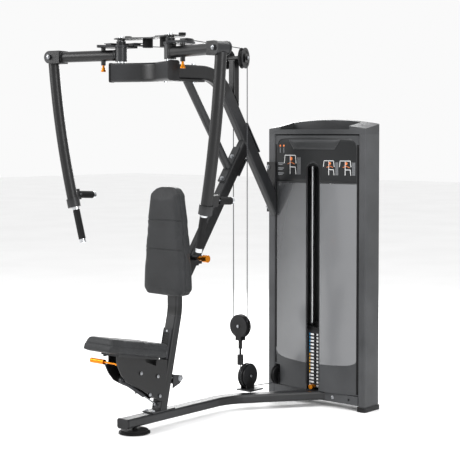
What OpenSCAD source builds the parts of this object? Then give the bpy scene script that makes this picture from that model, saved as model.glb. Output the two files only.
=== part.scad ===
// Pec fly and rear delt machine with a side weight tower.
// Millimetres, +Z up. Origin: on the floor under the middle of the front foot.
// The user sits facing -Y, the weight tower stands behind at +Y and to the +X side.

/* [Base and seat post] */
// Width of the base beam and the seat post across the machine
beam_w = 72; // [60:1:90]
// Height of the base beam section
beam_h = 48; // [40:1:60]
// Gap between the floor and the underside of the base beam
beam_clear = 35; // [25:1:50]
// Length of the straight front part of the base beam, from the origin
beam_run = 593; // [560:1:640]
// Angle by which the base beam turns toward the tower
beam_turn = 36.2; // [25:0.1:45]
// Radius of that turn
beam_bend = 300; // [200:5:400]
// Lean of the lower seat post from the vertical
post_lean = 13.4; // [8:0.1:18]

/* [Overhead frame] */
// Height of the top face of the overhead beam and the yoke
top_z = 1853; // [1750:1:1950]
// Width across the machine of the overhead beam, the leg and the back strut
leg_w = 46; // [40:1:60]
// Depth of those tubes in the side view
leg_d = 76; // [60:1:90]
// Slope of the rear leg below the horizontal
leg_slope = 56; // [50:0.5:62]
// Slope of the back strut above the horizontal
strut_slope = 54.25; // [50:0.25:60]
// Sweep of each yoke leg toward the user
yoke_sweep = 25; // [15:1:35]
// Height of the yoke section
yoke_h = 96; // [80:1:110]
// Thickness of the yoke section
yoke_t = 57; // [45:1:70]

/* [Arms] */
// Half of the distance between the two arm pivots
pivot_x = 171; // [150:1:200]
// Fore and aft position of the arm pivots
pivot_y = 84; // [70:1:110]
// Height of the centre line of the upper arms
arm_z = 1894; // [1850:1:1950]
// Sweep of the upper arms toward the user at rest
arm_sweep = 12.6; // [5:0.1:25]
// Distance from the pivot to the elbow
arm_len = 420; // [380:1:480]
// Outside diameter of the arm tubes
arm_dia = 56; // [48:1:70]
// Drop of the lower arm tube below the elbow
drop_len = 735; // [600:5:780]
// Radius of the cable groove on the arm cams
cam_r = 108; // [80:1:120]

/* [Tower] */
// Left edge of the tower
tower_x = -41.5; // [-60:0.5:-30]
// Width of the tower
tower_w = 662; // [600:1:720]
// Front face of the tower
tower_y = 1118; // [1080:1:1160]
// Depth of the tower
tower_d = 135; // [120:1:180]
// Height of the front top corners of the tower
tower_h = 1523; // [1400:1:1600]
// Width of each tower post
post_w = 45; // [38:1:60]

/* [Weight stack] */
// Number of selectable weight plates
plates = 16; // [10:1:20]
// Thickness of one plate with its gap
plate_pitch = 18.9; // [15:0.1:25]
// Width of a weight plate
plate_w = 275; // [240:1:320]
// Distance of each guide rod from the middle of the stack
rod_off = 65; // [50:1:100]

/* [Pads] */
// Width of the back pad at its widest
pad_w = 280; // [240:1:300]
// Thickness of the back pad
pad_t = 76; // [55:1:80]
// Height of the bottom edge of the back pad
pad_z = 671; // [640:1:720]
// Height of the back pad
pad_h = 553; // [500:1:600]
// Slope of the seat, rear edge lower
seat_tilt = 10.65; // [0:0.05:15]

/* [Hidden] */
gap = 0.3;
wall = 3;
big = 3000;
beam_top = beam_clear + beam_h;
beam_mid = beam_clear + beam_h / 2;
beam_end_x = beam_bend * (1 - cos(beam_turn));
beam_end_y = beam_run + beam_bend * sin(beam_turn);
lean_y = 179.5;
lean_z = 91;
post_t = 50;
post_top = 668;
knee_r = 250;
knee_y = 297;
knee_z = 614.4;
bend_y = 499;
bend_r = 243;
over_mid = top_z - leg_d / 2;
leg_y = bend_y + bend_r * sin(leg_slope);
leg_z = over_mid - bend_r * (1 - cos(leg_slope));
strut_y = 494;
strut_z = 935;
strut_d = 74;
flange_y = tower_y - 10;
yoke_r = 170;
yoke_cy = -27;
yoke_leg = 154;
yoke_mid = top_z - yoke_h / 2;
tower_mid = tower_x + tower_w / 2;
tower_back = tower_y + tower_d;
stack_y = 1178;
stack_d = 116;
stack_z0 = 96;
stack_top = stack_z0 + plates * plate_pitch;
head_h = 30;
rod_r = 11;
rod_top = 1350;
cable_r = 2.4;
seam_gap = 0.4;
groove_z = 1952;
wheel_w = 24;
mast_y = 767;
mast_turn = 17.8;
mast_x = 64.7;
mast_py = 772.5;
mast_r = 50;
mast_cz = groove_z - mast_r;
drop_y = 822;
float_z = 442;
float_r = 48.8;
beam_pul_r = 62;
beam_pul_out = 68;
beam_pul_y = drop_y + beam_pul_r;
beam_pul_z = 160;
tower_pul_r = 44;
tower_pul_x = 20;
tower_pul_y = 1122;
tower_pul_z = 134;
tower_cable_y = tower_pul_y + tower_pul_r;
top_pul_r = 44;
top_pul_z = 1412;
slide_z = 835;
slide_w = 30;
slide_h = 46;
pad_front = 208;
elbow_x = arm_len;
pin_x = cam_r;

// Rounded rectangle, true arcs
module rr(w, h, r) {
  square([w - 2 * r, h], center = true);
  square([w, h - 2 * r], center = true);
  for (sx = [-1, 1])
    for (sy = [-1, 1])
      translate([sx * (w / 2 - r), sy * (h / 2 - r)])
        circle(r = r, $fn = 48);
}

// Hollow rounded rectangular section
module section(w, h, r) {
  difference() {
    rr(w, h, r);
    rr(w - 2 * wall, h - 2 * wall, r - wall);
  }
}

// Draws its children in the side view: local x to +Y, local y to +Z, extrusion centred on X
module side(w, x = 0) {
  translate([x - w / 2, 0, 0])
    rotate([90, 0, 90])
      linear_extrude(w)
        children();
}

// Cylinder along X
module xcyl(r, x0, x1, y, z) {
  translate([x0, y, z])
    rotate([0, 90, 0])
      cylinder(r = r, h = x1 - x0, $fn = 64);
}

// Cylinder along Y
module ycyl(r, y0, y1, x, z) {
  translate([x, y0, z])
    rotate([-90, 0, 0])
      cylinder(r = r, h = y1 - y0, $fn = 64);
}

// Hexagon head with a washer, along local +Z
module bolt_head(r) {
  cylinder(r = r * 1.35, h = r * 0.25, $fn = 48);
  translate([0, 0, r * 0.25])
    cylinder(r = r, h = r * 0.75, $fn = 6);
}

// Straight rod between two points
module rod(a, b, r) {
  v = b - a;
  translate(a)
    rotate([0, acos(v[2] / norm(v)), atan2(v[1], v[0])])
      cylinder(r = r, h = norm(v), $fn = 32);
}

// Mirrored pair or one side only
module flip(s) {
  if (s < 0)
    mirror([1, 0, 0])
      children();
  else
    children();
}

// Grooved wheel around local Z: outer radius ro, cable centre radius rc
module wheel(ro, rc, w, bore) {
  g = cable_r + 3 * gap;
  rotate_extrude($fn = 96)
    difference() {
      translate([bore, -w / 2])
        square([ro - bore, w]);
      translate([rc, 0])
        circle(r = g, $fn = 32);
      translate([rc, 0])
        polygon([[0, -g], [ro - rc + 1, -w / 2 + 2], [ro - rc + 1, w / 2 - 2], [0, g]]);
      for (s = [-1, 1])
        translate([bore + 8, s * w / 2 - 2])
          square([max(rc - bore - 18, 4), 4]);
    }
}

// Lower seat post frame: local z runs up the post, local y to its rear face
module lean() {
  translate([0, lean_y, lean_z])
    rotate([-post_lean, 0, 0])
      children();
}

// Back strut frame: local z runs up the strut, local y to its underside
module strut() {
  translate([0, strut_y, strut_z])
    rotate([strut_slope - 90, 0, 0])
      children();
}

// Rear leg frame: local z runs down the leg, local y to its underside
module leg() {
  translate([0, leg_y, leg_z])
    rotate([-leg_slope - 90, 0, 0])
      children();
}

// Arm frame: origin on the pivot at floor height, local x along the arm
module arm_frame(s) {
  flip(s)
    translate([pivot_x, pivot_y, 0])
      rotate([0, 0, -arm_sweep])
        children();
}

// ---------------------------------------------------------------- base
module base_beam() {
  color("dimgray")
    difference() {
      union() {
        translate([0, -72, beam_mid])
          rotate([-90, 0, 0])
            linear_extrude(beam_run + 72)
              section(beam_w, beam_h, 12);
        translate([beam_bend, beam_run, beam_mid])
          rotate([0, 0, 180 - beam_turn])
            rotate_extrude(angle = beam_turn, $fn = 96)
              translate([beam_bend, 0])
                section(beam_w, beam_h, 12);
        translate([beam_end_x, beam_end_y, beam_mid])
          rotate([0, 0, -beam_turn])
            rotate([-90, 0, 0])
              linear_extrude(500)
                section(beam_w, beam_h, 12);
      }
      translate([-big / 2, tower_y, -1])
        cube([big, big, 400]);
      translate([0, 0, 20])
        cylinder(r = 8 + gap, h = 30, $fn = 48);
    }
}

module tube_end_caps() {
  color("black") {
    translate([0, -72, beam_mid])
      rotate([90, 0, 0]) {
        linear_extrude(12)
          rr(beam_w + 3, beam_h + 3, 13);
        translate([0, 0, -20])
          linear_extrude(20.1)
            rr(beam_w - 2 * wall - 0.4, beam_h - 2 * wall - 0.4, 10);
      }
    for (s = [-1, 1])
      flip(s)
        yoke_leg_frame()
          translate([0, yoke_leg, 0])
            rotate([-90, 0, 0]) {
              linear_extrude(10)
                rr(yoke_t + 3, yoke_h + 3, 13);
              translate([0, 0, -22])
                linear_extrude(22.1)
                  rr(yoke_t - 2 * wall - 0.4, yoke_h - 2 * wall - 0.4, 12);
            }
  }
}

module front_foot() {
  color("black") {
    cylinder(r = 79, h = 8, $fn = 96);
    translate([0, 0, 8])
      cylinder(r = 68, h = 10, $fn = 96);
    translate([0, 0, 18])
      cylinder(r = 12, h = beam_clear - 18, $fn = 48);
    translate([0, 0, beam_clear])
      cylinder(r = 8, h = 12, $fn = 48);
  }
}

module seat_post() {
  color("dimgray")
    difference() {
      union() {
        intersection() {
          lean()
            translate([0, 0, -40])
              linear_extrude(518)
                section(beam_w, post_t, 12);
          translate([-100, 0, lean_z])
            cube([200, 600, 800]);
        }
        translate([0, knee_y - knee_r, knee_z])
          rotate([90, 0, 90])
            rotate([0, 0, -post_lean])
              rotate_extrude(angle = post_lean, $fn = 96)
                translate([knee_r, 0])
                  section(post_t, beam_w, 12);
        translate([0, knee_y, knee_z])
          linear_extrude(post_top - knee_z)
            section(beam_w, post_t, 12);
        translate([-38, 94, beam_top])
          cube([76, 162, lean_z - beam_top]);
        translate([-38, pad_front + pad_t + 2, post_top])
          cube([76, 68, 8]);
        // clevis for the gas strut
        for (x = [8, 27])
          side(5, x)
            polygon([[118, 110], [166, 104], [170, 134], [134, 134]]);
      }
      xcyl(5 + gap, 0, 36, 137, 122);
      for (x = [-24, 24])
        translate([x, 112, beam_top - 1])
          cylinder(r = 7, h = 12, $fn = 32);
    }
}

module seat_tracks() {
  color("gray")
    lean()
      difference() {
        translate([0, -post_t / 2 - 6, 256])
          linear_extrude(156)
            rr(54, 12, 3);
        for (i = [0 : 9])
          translate([-22, -post_t / 2 - 13, 265 + i * 12.8])
            cube([44, 7, 6.4]);
        translate([0, -post_t / 2 - 3, 396])
          rotate([90, 0, 0])
            cylinder(r = 7, h = 12, $fn = 32);
      }
  color("black")
    lean()
      translate([0, post_t / 2 + 4, 45])
        linear_extrude(365)
          rr(36, 8, 2);
}

// ---------------------------------------------------------------- frame
module back_strut() {
  color("dimgray")
    difference() {
      union() {
        difference() {
          strut()
            translate([0, 0, -420])
              linear_extrude(1040)
                section(leg_w, strut_d, 12);
          translate([-100, 0, 0])
            cube([200, 800, post_top + 8]);
          translate([-100, 0, 0])
            cube([200, pad_front + pad_t + 4, 900]);
          // clear of the rear leg
          leg()
            translate([-100, leg_d / 2 - 400, -400])
              cube([200, 400, 1200]);
        }
        // sleeve for the back pad slide
        difference() {
          side(leg_w)
            translate([strut_y - (strut_z - slide_z) / tan(strut_slope), slide_z])
              square([70, slide_h + 12], center = true);
          side(leg_w - 8)
            translate([strut_y - (strut_z - slide_z) / tan(strut_slope), slide_z])
              square([80, slide_h + 4], center = true);
        }
        xcyl(13, leg_w / 2 - 3, leg_w / 2 + 40, 407, 850);
      }
      side(slide_w + 1)
        translate([400, slide_z])
          square([260, slide_h + 1], center = true);
      xcyl(6 + gap, 10, 100, 407, 850);
    }
}

module overhead_leg() {
  color("dimgray") {
    translate([0, 170, over_mid])
      rotate([-90, 0, 0])
        linear_extrude(bend_y - 170)
          section(leg_w, leg_d, 12);
    translate([0, bend_y, over_mid - bend_r])
      rotate([90, 0, 90])
        rotate([0, 0, 90 - leg_slope])
          rotate_extrude(angle = leg_slope, $fn = 96)
            translate([bend_r, 0])
              section(leg_d, leg_w, 12);
    difference() {
      leg()
        linear_extrude(860)
          section(leg_w, leg_d, 12);
      translate([-100, flange_y, 700])
        cube([200, 400, 900]);
    }
    // mounting plate on the tower post
    translate([tower_x - 4, flange_y, 1056])
      cube([59, 10, 281]);
    // plate under the overhead beam
    translate([-30, 176, top_z - leg_d - 12])
      cube([60, 320, 12]);
    // plate against the yoke
    translate([-35, 166, yoke_mid - 46])
      cube([70, 10, 92]);
  }
}

module joint_plates() {
  color("dimgray") {
    strut() {
      translate([-leg_w / 2, -strut_d / 2 - 10, 345])
        cube([leg_w, 10, 225]);
      translate([-leg_w / 2, strut_d / 2, 440])
        cube([leg_w, 10, 110]);
    }
    leg()
      translate([-leg_w / 2, -leg_d / 2 - 8, 215])
        cube([leg_w, 8, 190]);
  }
}

module brace_tube() {
  color("dimgray")
    difference() {
      rod([0, 378, 1792], [0, 720, 1309], 22.5);
      rod([0, 378, 1792], [0, 725, 1302], 19.5);
      translate([-50, 300, top_z - leg_d - 12])
        cube([100, 300, 100]);
      strut()
        translate([-100, -strut_d / 2 - 10, -400])
          cube([200, 300, 1200]);
    }
}

module yoke_leg_frame() {
  translate([yoke_r * sin(yoke_sweep), yoke_cy + yoke_r * cos(yoke_sweep), yoke_mid])
    rotate([0, 0, -90 - yoke_sweep])
      children();
}

module pivot_yoke() {
  color("dimgray")
    difference() {
      union() {
        translate([0, yoke_cy, yoke_mid])
          rotate([0, 0, 90 - yoke_sweep])
            rotate_extrude(angle = 2 * yoke_sweep, $fn = 96)
              translate([yoke_r, 0])
                section(yoke_t, yoke_h, 14);
        for (s = [-1, 1])
          flip(s)
            yoke_leg_frame()
              rotate([-90, 0, 0])
                linear_extrude(yoke_leg)
                  section(yoke_t, yoke_h, 14);
      }
      for (s = [-1, 1])
        translate([s * pivot_x, pivot_y, yoke_mid])
          cylinder(r = 12 + 0.05, h = 100, $fn = 64);
      // flat seat for the overhead beam plate
      translate([-60, 166, yoke_mid - 60])
        cube([120, 40, 120]);
    }
}

module rear_mast() {
  color("dimgray") {
    difference() {
      translate([0, mast_y, 1560])
        linear_extrude(1888 - 1560)
          section(leg_w, 44, 10);
      leg()
        translate([-100, -leg_d / 2, -300])
          cube([200, 300, 900]);
    }
    translate([-leg_w / 2, mast_y - 22, 1888])
      cube([leg_w, 44, 6]);
    xcyl(14, -44, 44, mast_py, 1894 + 8);
    for (s = [-1, 1])
      flip(s)
        translate([mast_x, mast_py, mast_cz])
          rotate([0, 0, mast_turn]) {
            // side plates and axle of the mast pulley
            for (x = [-17, 17])
              side(4, x)
                union() {
                  circle(r = 24, $fn = 64);
                  translate([-24, -24])
                    square([48, 24]);
                }
            xcyl(8, -22, 22, 0, 0);
            xcyl(12, -26, -19, 0, 0);
            xcyl(12, 19, 25, 0, 0);
          }
  }
}

module frame_bolts() {
  color("silver") {
    // overhead beam to its lower plate
    for (y = [230, 440])
      for (x = [0]) {
        translate([x, y, top_z])
          bolt_head(9);
        translate([x, y, top_z - leg_d - 12])
          rotate([180, 0, 0])
            bolt_head(9);
      }
    // strut and leg joint plates
    strut() {
      for (z = [362, 505])
        translate([0, -strut_d / 2 - 10, z])
          rotate([90, 0, 0])
            bolt_head(9);
      translate([0, strut_d / 2 + 10, 500])
        rotate([-90, 0, 0])
          bolt_head(9);
    }
    leg()
      for (z = [240, 380])
        translate([0, -leg_d / 2 - 8, z])
          rotate([90, 0, 0])
            bolt_head(9);
    // leg mounting plate
    for (z = [1085, 1308])
      translate([tower_x + 6, flange_y, z])
        rotate([90, 0, 0])
          bolt_head(9);
    // seat post base plate
    for (x = [-24, 24])
      translate([x, 112, lean_z])
        bolt_head(8);
    // ratchet strip screw
    lean()
      translate([0, -post_t / 2 - 4, 396])
        rotate([90, 0, 0])
          cylinder(r = 6, h = 7, $fn = 32);
  }
}

// ---------------------------------------------------------------- tower
module tower_post(x) {
  color("dimgray")
    difference() {
      translate([x + post_w / 2, tower_y + tower_d / 2, 25])
        linear_extrude(tower_h - 25 - 30)
          section(post_w, tower_d, 8);
    }
}

module tower_post_left() {
  tower_post(tower_x);
}

module tower_post_right() {
  tower_post(tower_x + tower_w - post_w);
}

module tower_crossmembers() {
  inner = tower_w - 2 * post_w;
  color("dimgray") {
    difference() {
      translate([tower_x + post_w, tower_y, 31])
        cube([inner, 48, 49]);
      translate([tower_x + post_w - 1, tower_y + wall, 31 + wall])
        cube([inner + 2, 48 - 2 * wall, 49 - 2 * wall]);
      for (dx = [-11, 96])
        ycyl(6, tower_y - 1, tower_y + 10, 420 + dx, 56);
    }
    difference() {
      translate([tower_x + post_w, tower_back - 48, 31])
        cube([inner, 48, 49]);
      translate([tower_x + post_w - 1, tower_back - 48 + wall, 31 + wall])
        cube([inner + 2, 48 - 2 * wall, 49 - 2 * wall]);
    }
    // shelf under the stack
    translate([tower_mid - 150, tower_y + 48, 74])
      cube([300, tower_d - 96, 6]);
    // top beam
    difference() {
      translate([tower_x + post_w, stack_y - 34, rod_top - 34])
        cube([inner, 68, 40]);
      translate([tower_x + post_w - 1, stack_y - 34 + wall, rod_top - 34 + wall])
        cube([inner + 2, 68 - 2 * wall, 40 - 2 * wall]);
      for (p = [[tower_pul_x, tower_cable_y], [tower_mid, stack_y]])
        translate([p[0], p[1], rod_top - 60])
          cylinder(r = 8, h = 100, $fn = 32);
      for (s = [-1, 1])
        translate([tower_mid + s * rod_off, stack_y, rod_top - 60])
          cylinder(r = rod_r + 0.05, h = 55, $fn = 64);
    }
  }
}

module tower_cap() {
  dome = 2120;
  tilt = 11;
  color("dimgray")
    difference() {
      intersection() {
        translate([tower_mid, tower_y + tower_d / 2, tower_h - 30])
          linear_extrude(160)
            rr(tower_w, tower_d, 8);
        translate([tower_mid, tower_y, tower_h + 26])
          rotate([tilt, 0, 0])
            translate([0, -200, -dome])
              rotate([-90, 0, 0])
                cylinder(r = dome, h = 600, $fn = 256);
      }
      // tray with an open front lip
      translate([44, tower_y + 12, tower_h - 22])
        cube([470, tower_d - 30, 200]);
      translate([44, tower_y - 5, tower_h - 3])
        cube([470, 30, 200]);
      // hollow underside beside the tray
      translate([tower_x + 4, tower_y + 4, tower_h - 31])
        cube([78, tower_d - 8, 24]);
      translate([522, tower_y + 4, tower_h - 31])
        cube([94, tower_d - 8, 24]);
      translate([560, tower_y + 60, tower_h - 20])
        cylinder(r = 7, h = 90, $fn = 32);
    }
}

// Bulged sheet across the tower front between two heights
module bulge(z0, z1, t, x0, x1) {
  s = 33;
  c = tower_w - 2 * post_w + 8;
  r = (c * c / 4 + s * s) / (2 * s);
  intersection() {
    translate([tower_mid, tower_y + 9 + r - s, z0])
      difference() {
        cylinder(r = r, h = z1 - z0, $fn = 360);
        translate([0, 0, -1])
          cylinder(r = r - t, h = z1 - z0 + 2, $fn = 360);
      }
    translate([x0, tower_y - 60, z0 - 1])
      cube([x1 - x0, 120, z1 - z0 + 2]);
  }
}

panel_x0 = tower_x + post_w;
panel_x1 = tower_x + tower_w - post_w;
slot_w = 82;

// Outline of the split line between the smoked and the lower panel, drawn in the front view
module seam() {
  n = 24;
  w = panel_x1 - panel_x0;
  pts = [for (i = [0 : n])
    let (u = 2 * i / n - 1)
      [panel_x0 + w * i / n, 231 + 18 * u * u + 34 * pow(abs(u), 14)]];
  translate([0, tower_y + 60, 0])
    rotate([90, 0, 0])
      linear_extrude(140)
        polygon(concat([[panel_x0 - 40, pts[0][1]]], pts, [[panel_x1 + 40, pts[n][1]]],
          [[panel_x1 + 40, 1000], [panel_x0 - 40, 1000]]));
}

module stack_slot(z0, z1) {
  translate([tower_mid - slot_w / 2, tower_y - 60, z0])
    cube([slot_w, 120, z1 - z0]);
}

module placard_panel() {
  color("gray")
    difference() {
      bulge(1226, 1486, 5, panel_x0, panel_x1);
      stack_slot(1200, 1335 - slot_w / 2);
      ycyl(slot_w / 2, tower_y - 60, tower_y + 60, tower_mid, 1335 - slot_w / 2);
    }
}

module smoked_panel() {
  color([0.4, 0.4, 0.42, 0.7])
    intersection() {
      difference() {
        bulge(200, 1224, 4, panel_x0, panel_x1);
        stack_slot(190, 1230);
      }
      union() {
        seam();
        translate([panel_x0 - 5, tower_y - 60, 900])
          cube([tower_w, 120, 400]);
      }
    }
}

module lower_panel() {
  color("dimgray")
    difference() {
      bulge(beam_top + 1, 300, 5, panel_x0, panel_x1);
      translate([0, 0, -1.5])
        seam();
      stack_slot(75, 320);
      translate([panel_x0 - 1, tower_y - 60, 70])
        cube([41, 120, 125]);
    }
}

module rear_panel() {
  color("dimgray")
    translate([panel_x0, tower_back - 6, 80])
      cube([panel_x1 - panel_x0, 4, tower_h - 30 - 80]);
}

module tower_feet() {
  color("black")
    for (x = [tower_x, tower_x + tower_w - post_w])
      translate([x + post_w / 2, tower_y + tower_d / 2, 0]) {
        linear_extrude(25)
          rr(post_w + 10, tower_d + 10, 10);
        translate([0, 0, 25])
          linear_extrude(18)
            rr(post_w - 2 * wall - 0.4, tower_d - 2 * wall - 0.4, 6);
      }
}

module guide_rods() {
  color("silver")
    for (s = [-1, 1])
      translate([tower_mid + s * rod_off, stack_y, 80])
        cylinder(r = rod_r, h = rod_top - 5 - 80, $fn = 64);
}

module stack_bumpers() {
  color("black")
    for (s = [-1, 1])
      translate([tower_mid + s * rod_off, stack_y, 80])
        difference() {
          cylinder(r = 26, h = stack_z0 - 80 - gap, $fn = 64);
          translate([0, 0, -1])
            cylinder(r = rod_r + gap, h = 40, $fn = 64);
        }
}

module plate_outline(h) {
  linear_extrude(h)
    difference() {
      rr(plate_w, stack_d, 6);
      for (s = [-1, 1])
        translate([s * rod_off, 0])
          circle(r = rod_r + 1, $fn = 48);
      circle(r = 12.5, $fn = 48);
    }
}

module weight_plates() {
  color("black")
    for (i = [0 : plates - 1])
      translate([tower_mid, stack_y, stack_z0 + i * plate_pitch])
        difference() {
          plate_outline(plate_pitch - 0.6);
          // selector hole, front to back centre
          translate([0, 0, plate_pitch / 2 - 0.3])
            rotate([90, 0, 0])
              cylinder(r = 5.5, h = stack_d, $fn = 24);
        }
}

module stack_head() {
  color("black") {
    translate([tower_mid, stack_y, stack_top])
      difference() {
        plate_outline(head_h);
        translate([0, 0, head_h / 2])
          cube([10, 20, head_h + 2], center = true);
      }
    // selector stem with a hole for each plate
    difference() {
      translate([tower_mid, stack_y, stack_z0 + 1])
        cylinder(r = 12, h = stack_top - stack_z0 + head_h + 34, $fn = 48);
      for (i = [0 : plates - 1])
        translate([tower_mid, stack_y + 20, stack_z0 + (i + 0.5) * plate_pitch - 0.3])
          rotate([90, 0, 0])
            cylinder(r = 5.5, h = 40, $fn = 24);
    }
    for (s = [-1, 1])
      translate([tower_mid + s * rod_off, stack_y, stack_top + head_h])
        difference() {
          cylinder(r = 22, h = 14, $fn = 48);
          translate([0, 0, -1])
            cylinder(r = rod_r + 1, h = 20, $fn = 48);
        }
    translate([tower_mid - 22, stack_y - 30, stack_top + head_h])
      difference() {
        cube([44, 60, 26]);
        translate([22, 30, -1])
          cylinder(r = 12, h = 40, $fn = 48);
      }
  }
}

module selector_pin() {
  z = stack_z0 + plate_pitch / 2 - 0.3;
  f = stack_y - stack_d / 2;
  color("silver")
    ycyl(5, f - 30, stack_y + 8, tower_mid, z);
  color("orange") {
    ycyl(8, f - 24, f - 8, tower_mid, z);
    ycyl(13, f - 44, f - 24, tower_mid, z);
  }
}

module tower_pulley_brackets() {
  px = tower_pul_x + top_pul_r;
  qx = tower_mid - top_pul_r;
  color("dimgray")
    for (x = [px, qx]) {
      for (dy = [-16, 16])
        translate([x - 20, tower_cable_y + dy - 2 + (x == qx ? stack_y - tower_cable_y : 0),
          rod_top + 6])
          cube([40, 4, top_pul_z + 16 - rod_top - 6]);
      ycyl(7, tower_cable_y - 20 + (x == qx ? stack_y - tower_cable_y : 0),
        tower_cable_y + 20 + (x == qx ? stack_y - tower_cable_y : 0), x, top_pul_z);
    }
  color("dimgray") {
    xcyl(7, tower_x + post_w, tower_pul_x + 22, tower_pul_y, tower_pul_z);
    side(4, tower_pul_x + 17)
      polygon([[tower_y, 80], [tower_y + 40, 80], [tower_pul_y + 14, tower_pul_z + 14],
        [tower_pul_y - 14, tower_pul_z + 14], [tower_pul_y - 14, tower_pul_z - 10]]);
  }
}

module top_pulley(x, y) {
  color("black")
    translate([x, y, top_pul_z])
      rotate([90, 0, 0])
        wheel(52, top_pul_r, wheel_w, 7 + gap);
}

module top_pulley_left() {
  top_pulley(tower_pul_x + top_pul_r, tower_cable_y);
}

module top_pulley_right() {
  top_pulley(tower_mid - top_pul_r, stack_y);
}

module tower_pulley() {
  color("black")
    translate([tower_pul_x, tower_pul_y, tower_pul_z])
      rotate([0, 90, 0])
        wheel(50, tower_pul_r, wheel_w - 4, 7 + gap);
}

// ---------------------------------------------------------------- cables and pulleys
module beam_pulley_bracket() {
  color("dimgray") {
    translate([-34, beam_pul_y - 55, beam_top])
      cube([100, 110, 8]);
    for (x = [-19, 19])
      side(4, x) {
        translate([beam_pul_y, beam_pul_z])
          circle(r = 60, $fn = 96);
        translate([beam_pul_y - 34, beam_top + 8])
          square([68, 30]);
      }
    xcyl(7, -26, 26, beam_pul_y, beam_pul_z);
  }
}

module beam_pulley() {
  color("black")
    translate([0, beam_pul_y, beam_pul_z])
      rotate([0, 90, 0])
        wheel(beam_pul_out, beam_pul_r, wheel_w, 7 + gap);
}

module floating_pulley_frame() {
  color("black") {
    for (y = [-19, 15])
      translate([0, drop_y + y, float_z])
        rotate([-90, 0, 0])
          cylinder(r = 60, h = 4, $fn = 96);
    ycyl(7, drop_y - 22, drop_y + 22, 0, float_z);
    translate([-20, drop_y - 19, float_z - 78])
      cube([40, 38, 10]);
    for (y = [-19, 15])
      translate([-20, drop_y + y, float_z - 70])
        cube([40, 4, 30]);
    translate([0, drop_y, 318])
      cylinder(r = 11, h = 50, $fn = 48);
    translate([0, drop_y, 229])
      cylinder(r = 17, h = 56, $fn = 48);
  }
  color("silver")
    translate([0, drop_y, 285])
      cylinder(r = 6, h = 33, $fn = 32);
}

module floating_pulley() {
  color("dimgray")
    translate([0, drop_y, float_z])
      rotate([90, 0, 0])
        wheel(64, float_r, wheel_w, 7 + gap);
}

module mast_pulley(s) {
  color("black")
    flip(s)
      translate([mast_x, mast_py, mast_cz])
        rotate([0, 0, mast_turn])
          rotate([0, 90, 0])
            wheel(56, mast_r, wheel_w, 8 + gap);
}

module mast_pulley_left() {
  mast_pulley(-1);
}

module mast_pulley_right() {
  mast_pulley(1);
}

// Arc of cable in the plane z = 0, around the origin
module cable_arc(r, a0, a1) {
  rotate([0, 0, a0])
    rotate_extrude(angle = a1 - a0, $fn = 96)
      translate([r, 0])
        circle(r = cable_r, $fn = 16);
}

module stack_cable() {
  bz = beam_pul_z;
  bottom = bz - beam_pul_r;
  s = seam_gap;
  color("silver") {
    rod([0, drop_y, 228], [0, drop_y, bz + s], cable_r);
    translate([0, beam_pul_y, bz])
      rotate([90, 0, 90])
        cable_arc(beam_pul_r, 180, 270);
    rod([0, beam_pul_y + s, bottom], [tower_pul_x, tower_pul_y - s, tower_pul_z - tower_pul_r],
      cable_r);
    translate([tower_pul_x, tower_pul_y, tower_pul_z])
      rotate([90, 0, 90])
        cable_arc(tower_pul_r, -90, 0);
    rod([tower_pul_x, tower_cable_y, tower_pul_z + s],
      [tower_pul_x, tower_cable_y, top_pul_z - s], cable_r);
    translate([tower_pul_x + top_pul_r, tower_cable_y, top_pul_z])
      rotate([90, 0, 0])
        cable_arc(top_pul_r, 90, 180);
    rod([tower_pul_x + top_pul_r + s, tower_cable_y, top_pul_z + top_pul_r],
      [tower_mid - top_pul_r - s, stack_y, top_pul_z + top_pul_r], cable_r);
    translate([tower_mid - top_pul_r, stack_y, top_pul_z])
      rotate([90, 0, 0])
        cable_arc(top_pul_r, 0, 90);
    rod([tower_mid, stack_y, top_pul_z - s], [tower_mid, stack_y, stack_top + head_h + 36],
      cable_r);
  }
}

module arm_cable(s) {
  a = mast_turn;
  ux = cos(a);
  uy = sin(a);
  cam_end = [pivot_x + cam_r * ux, pivot_y + cam_r * uy, groove_z];
  mast_end = [mast_x, mast_py, groove_z];
  run = (mast_end - cam_end) / norm(mast_end - cam_end);
  color("silver")
    flip(s) {
      // around the cam, from its anchor to the tangent point
      translate([pivot_x, pivot_y, groove_z])
        cable_arc(cam_r, a - 14, a);
      rod(cam_end + run * seam_gap, mast_end - run * seam_gap, cable_r);
      translate([mast_x, mast_py, mast_cz])
        rotate([0, 0, a])
          rotate([90, 0, 90])
            cable_arc(mast_r, 0, 90);
      rod([mast_x - mast_r * uy, mast_py + mast_r * ux, mast_cz - seam_gap],
        [float_r, drop_y, float_z + seam_gap], cable_r);
      translate([0, drop_y, float_z])
        rotate([90, 0, 0])
          cable_arc(float_r, -88, 0);
    }
}

module arm_cable_left() {
  arm_cable(-1);
}

module arm_cable_right() {
  arm_cable(1);
}

// ---------------------------------------------------------------- arms
module pivot_shafts() {
  color("silver")
    for (s = [-1, 1])
      translate([s * pivot_x, pivot_y, 0]) {
        translate([0, 0, yoke_mid + 1])
          cylinder(r = 12, h = 1990 - yoke_mid - 1, $fn = 64);
        translate([0, 0, top_z])
          difference() {
            cylinder(r = 20, h = 8, $fn = 64);
            cylinder(r = 11.9, h = 20, center = true, $fn = 64);
          }
      }
}

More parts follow.
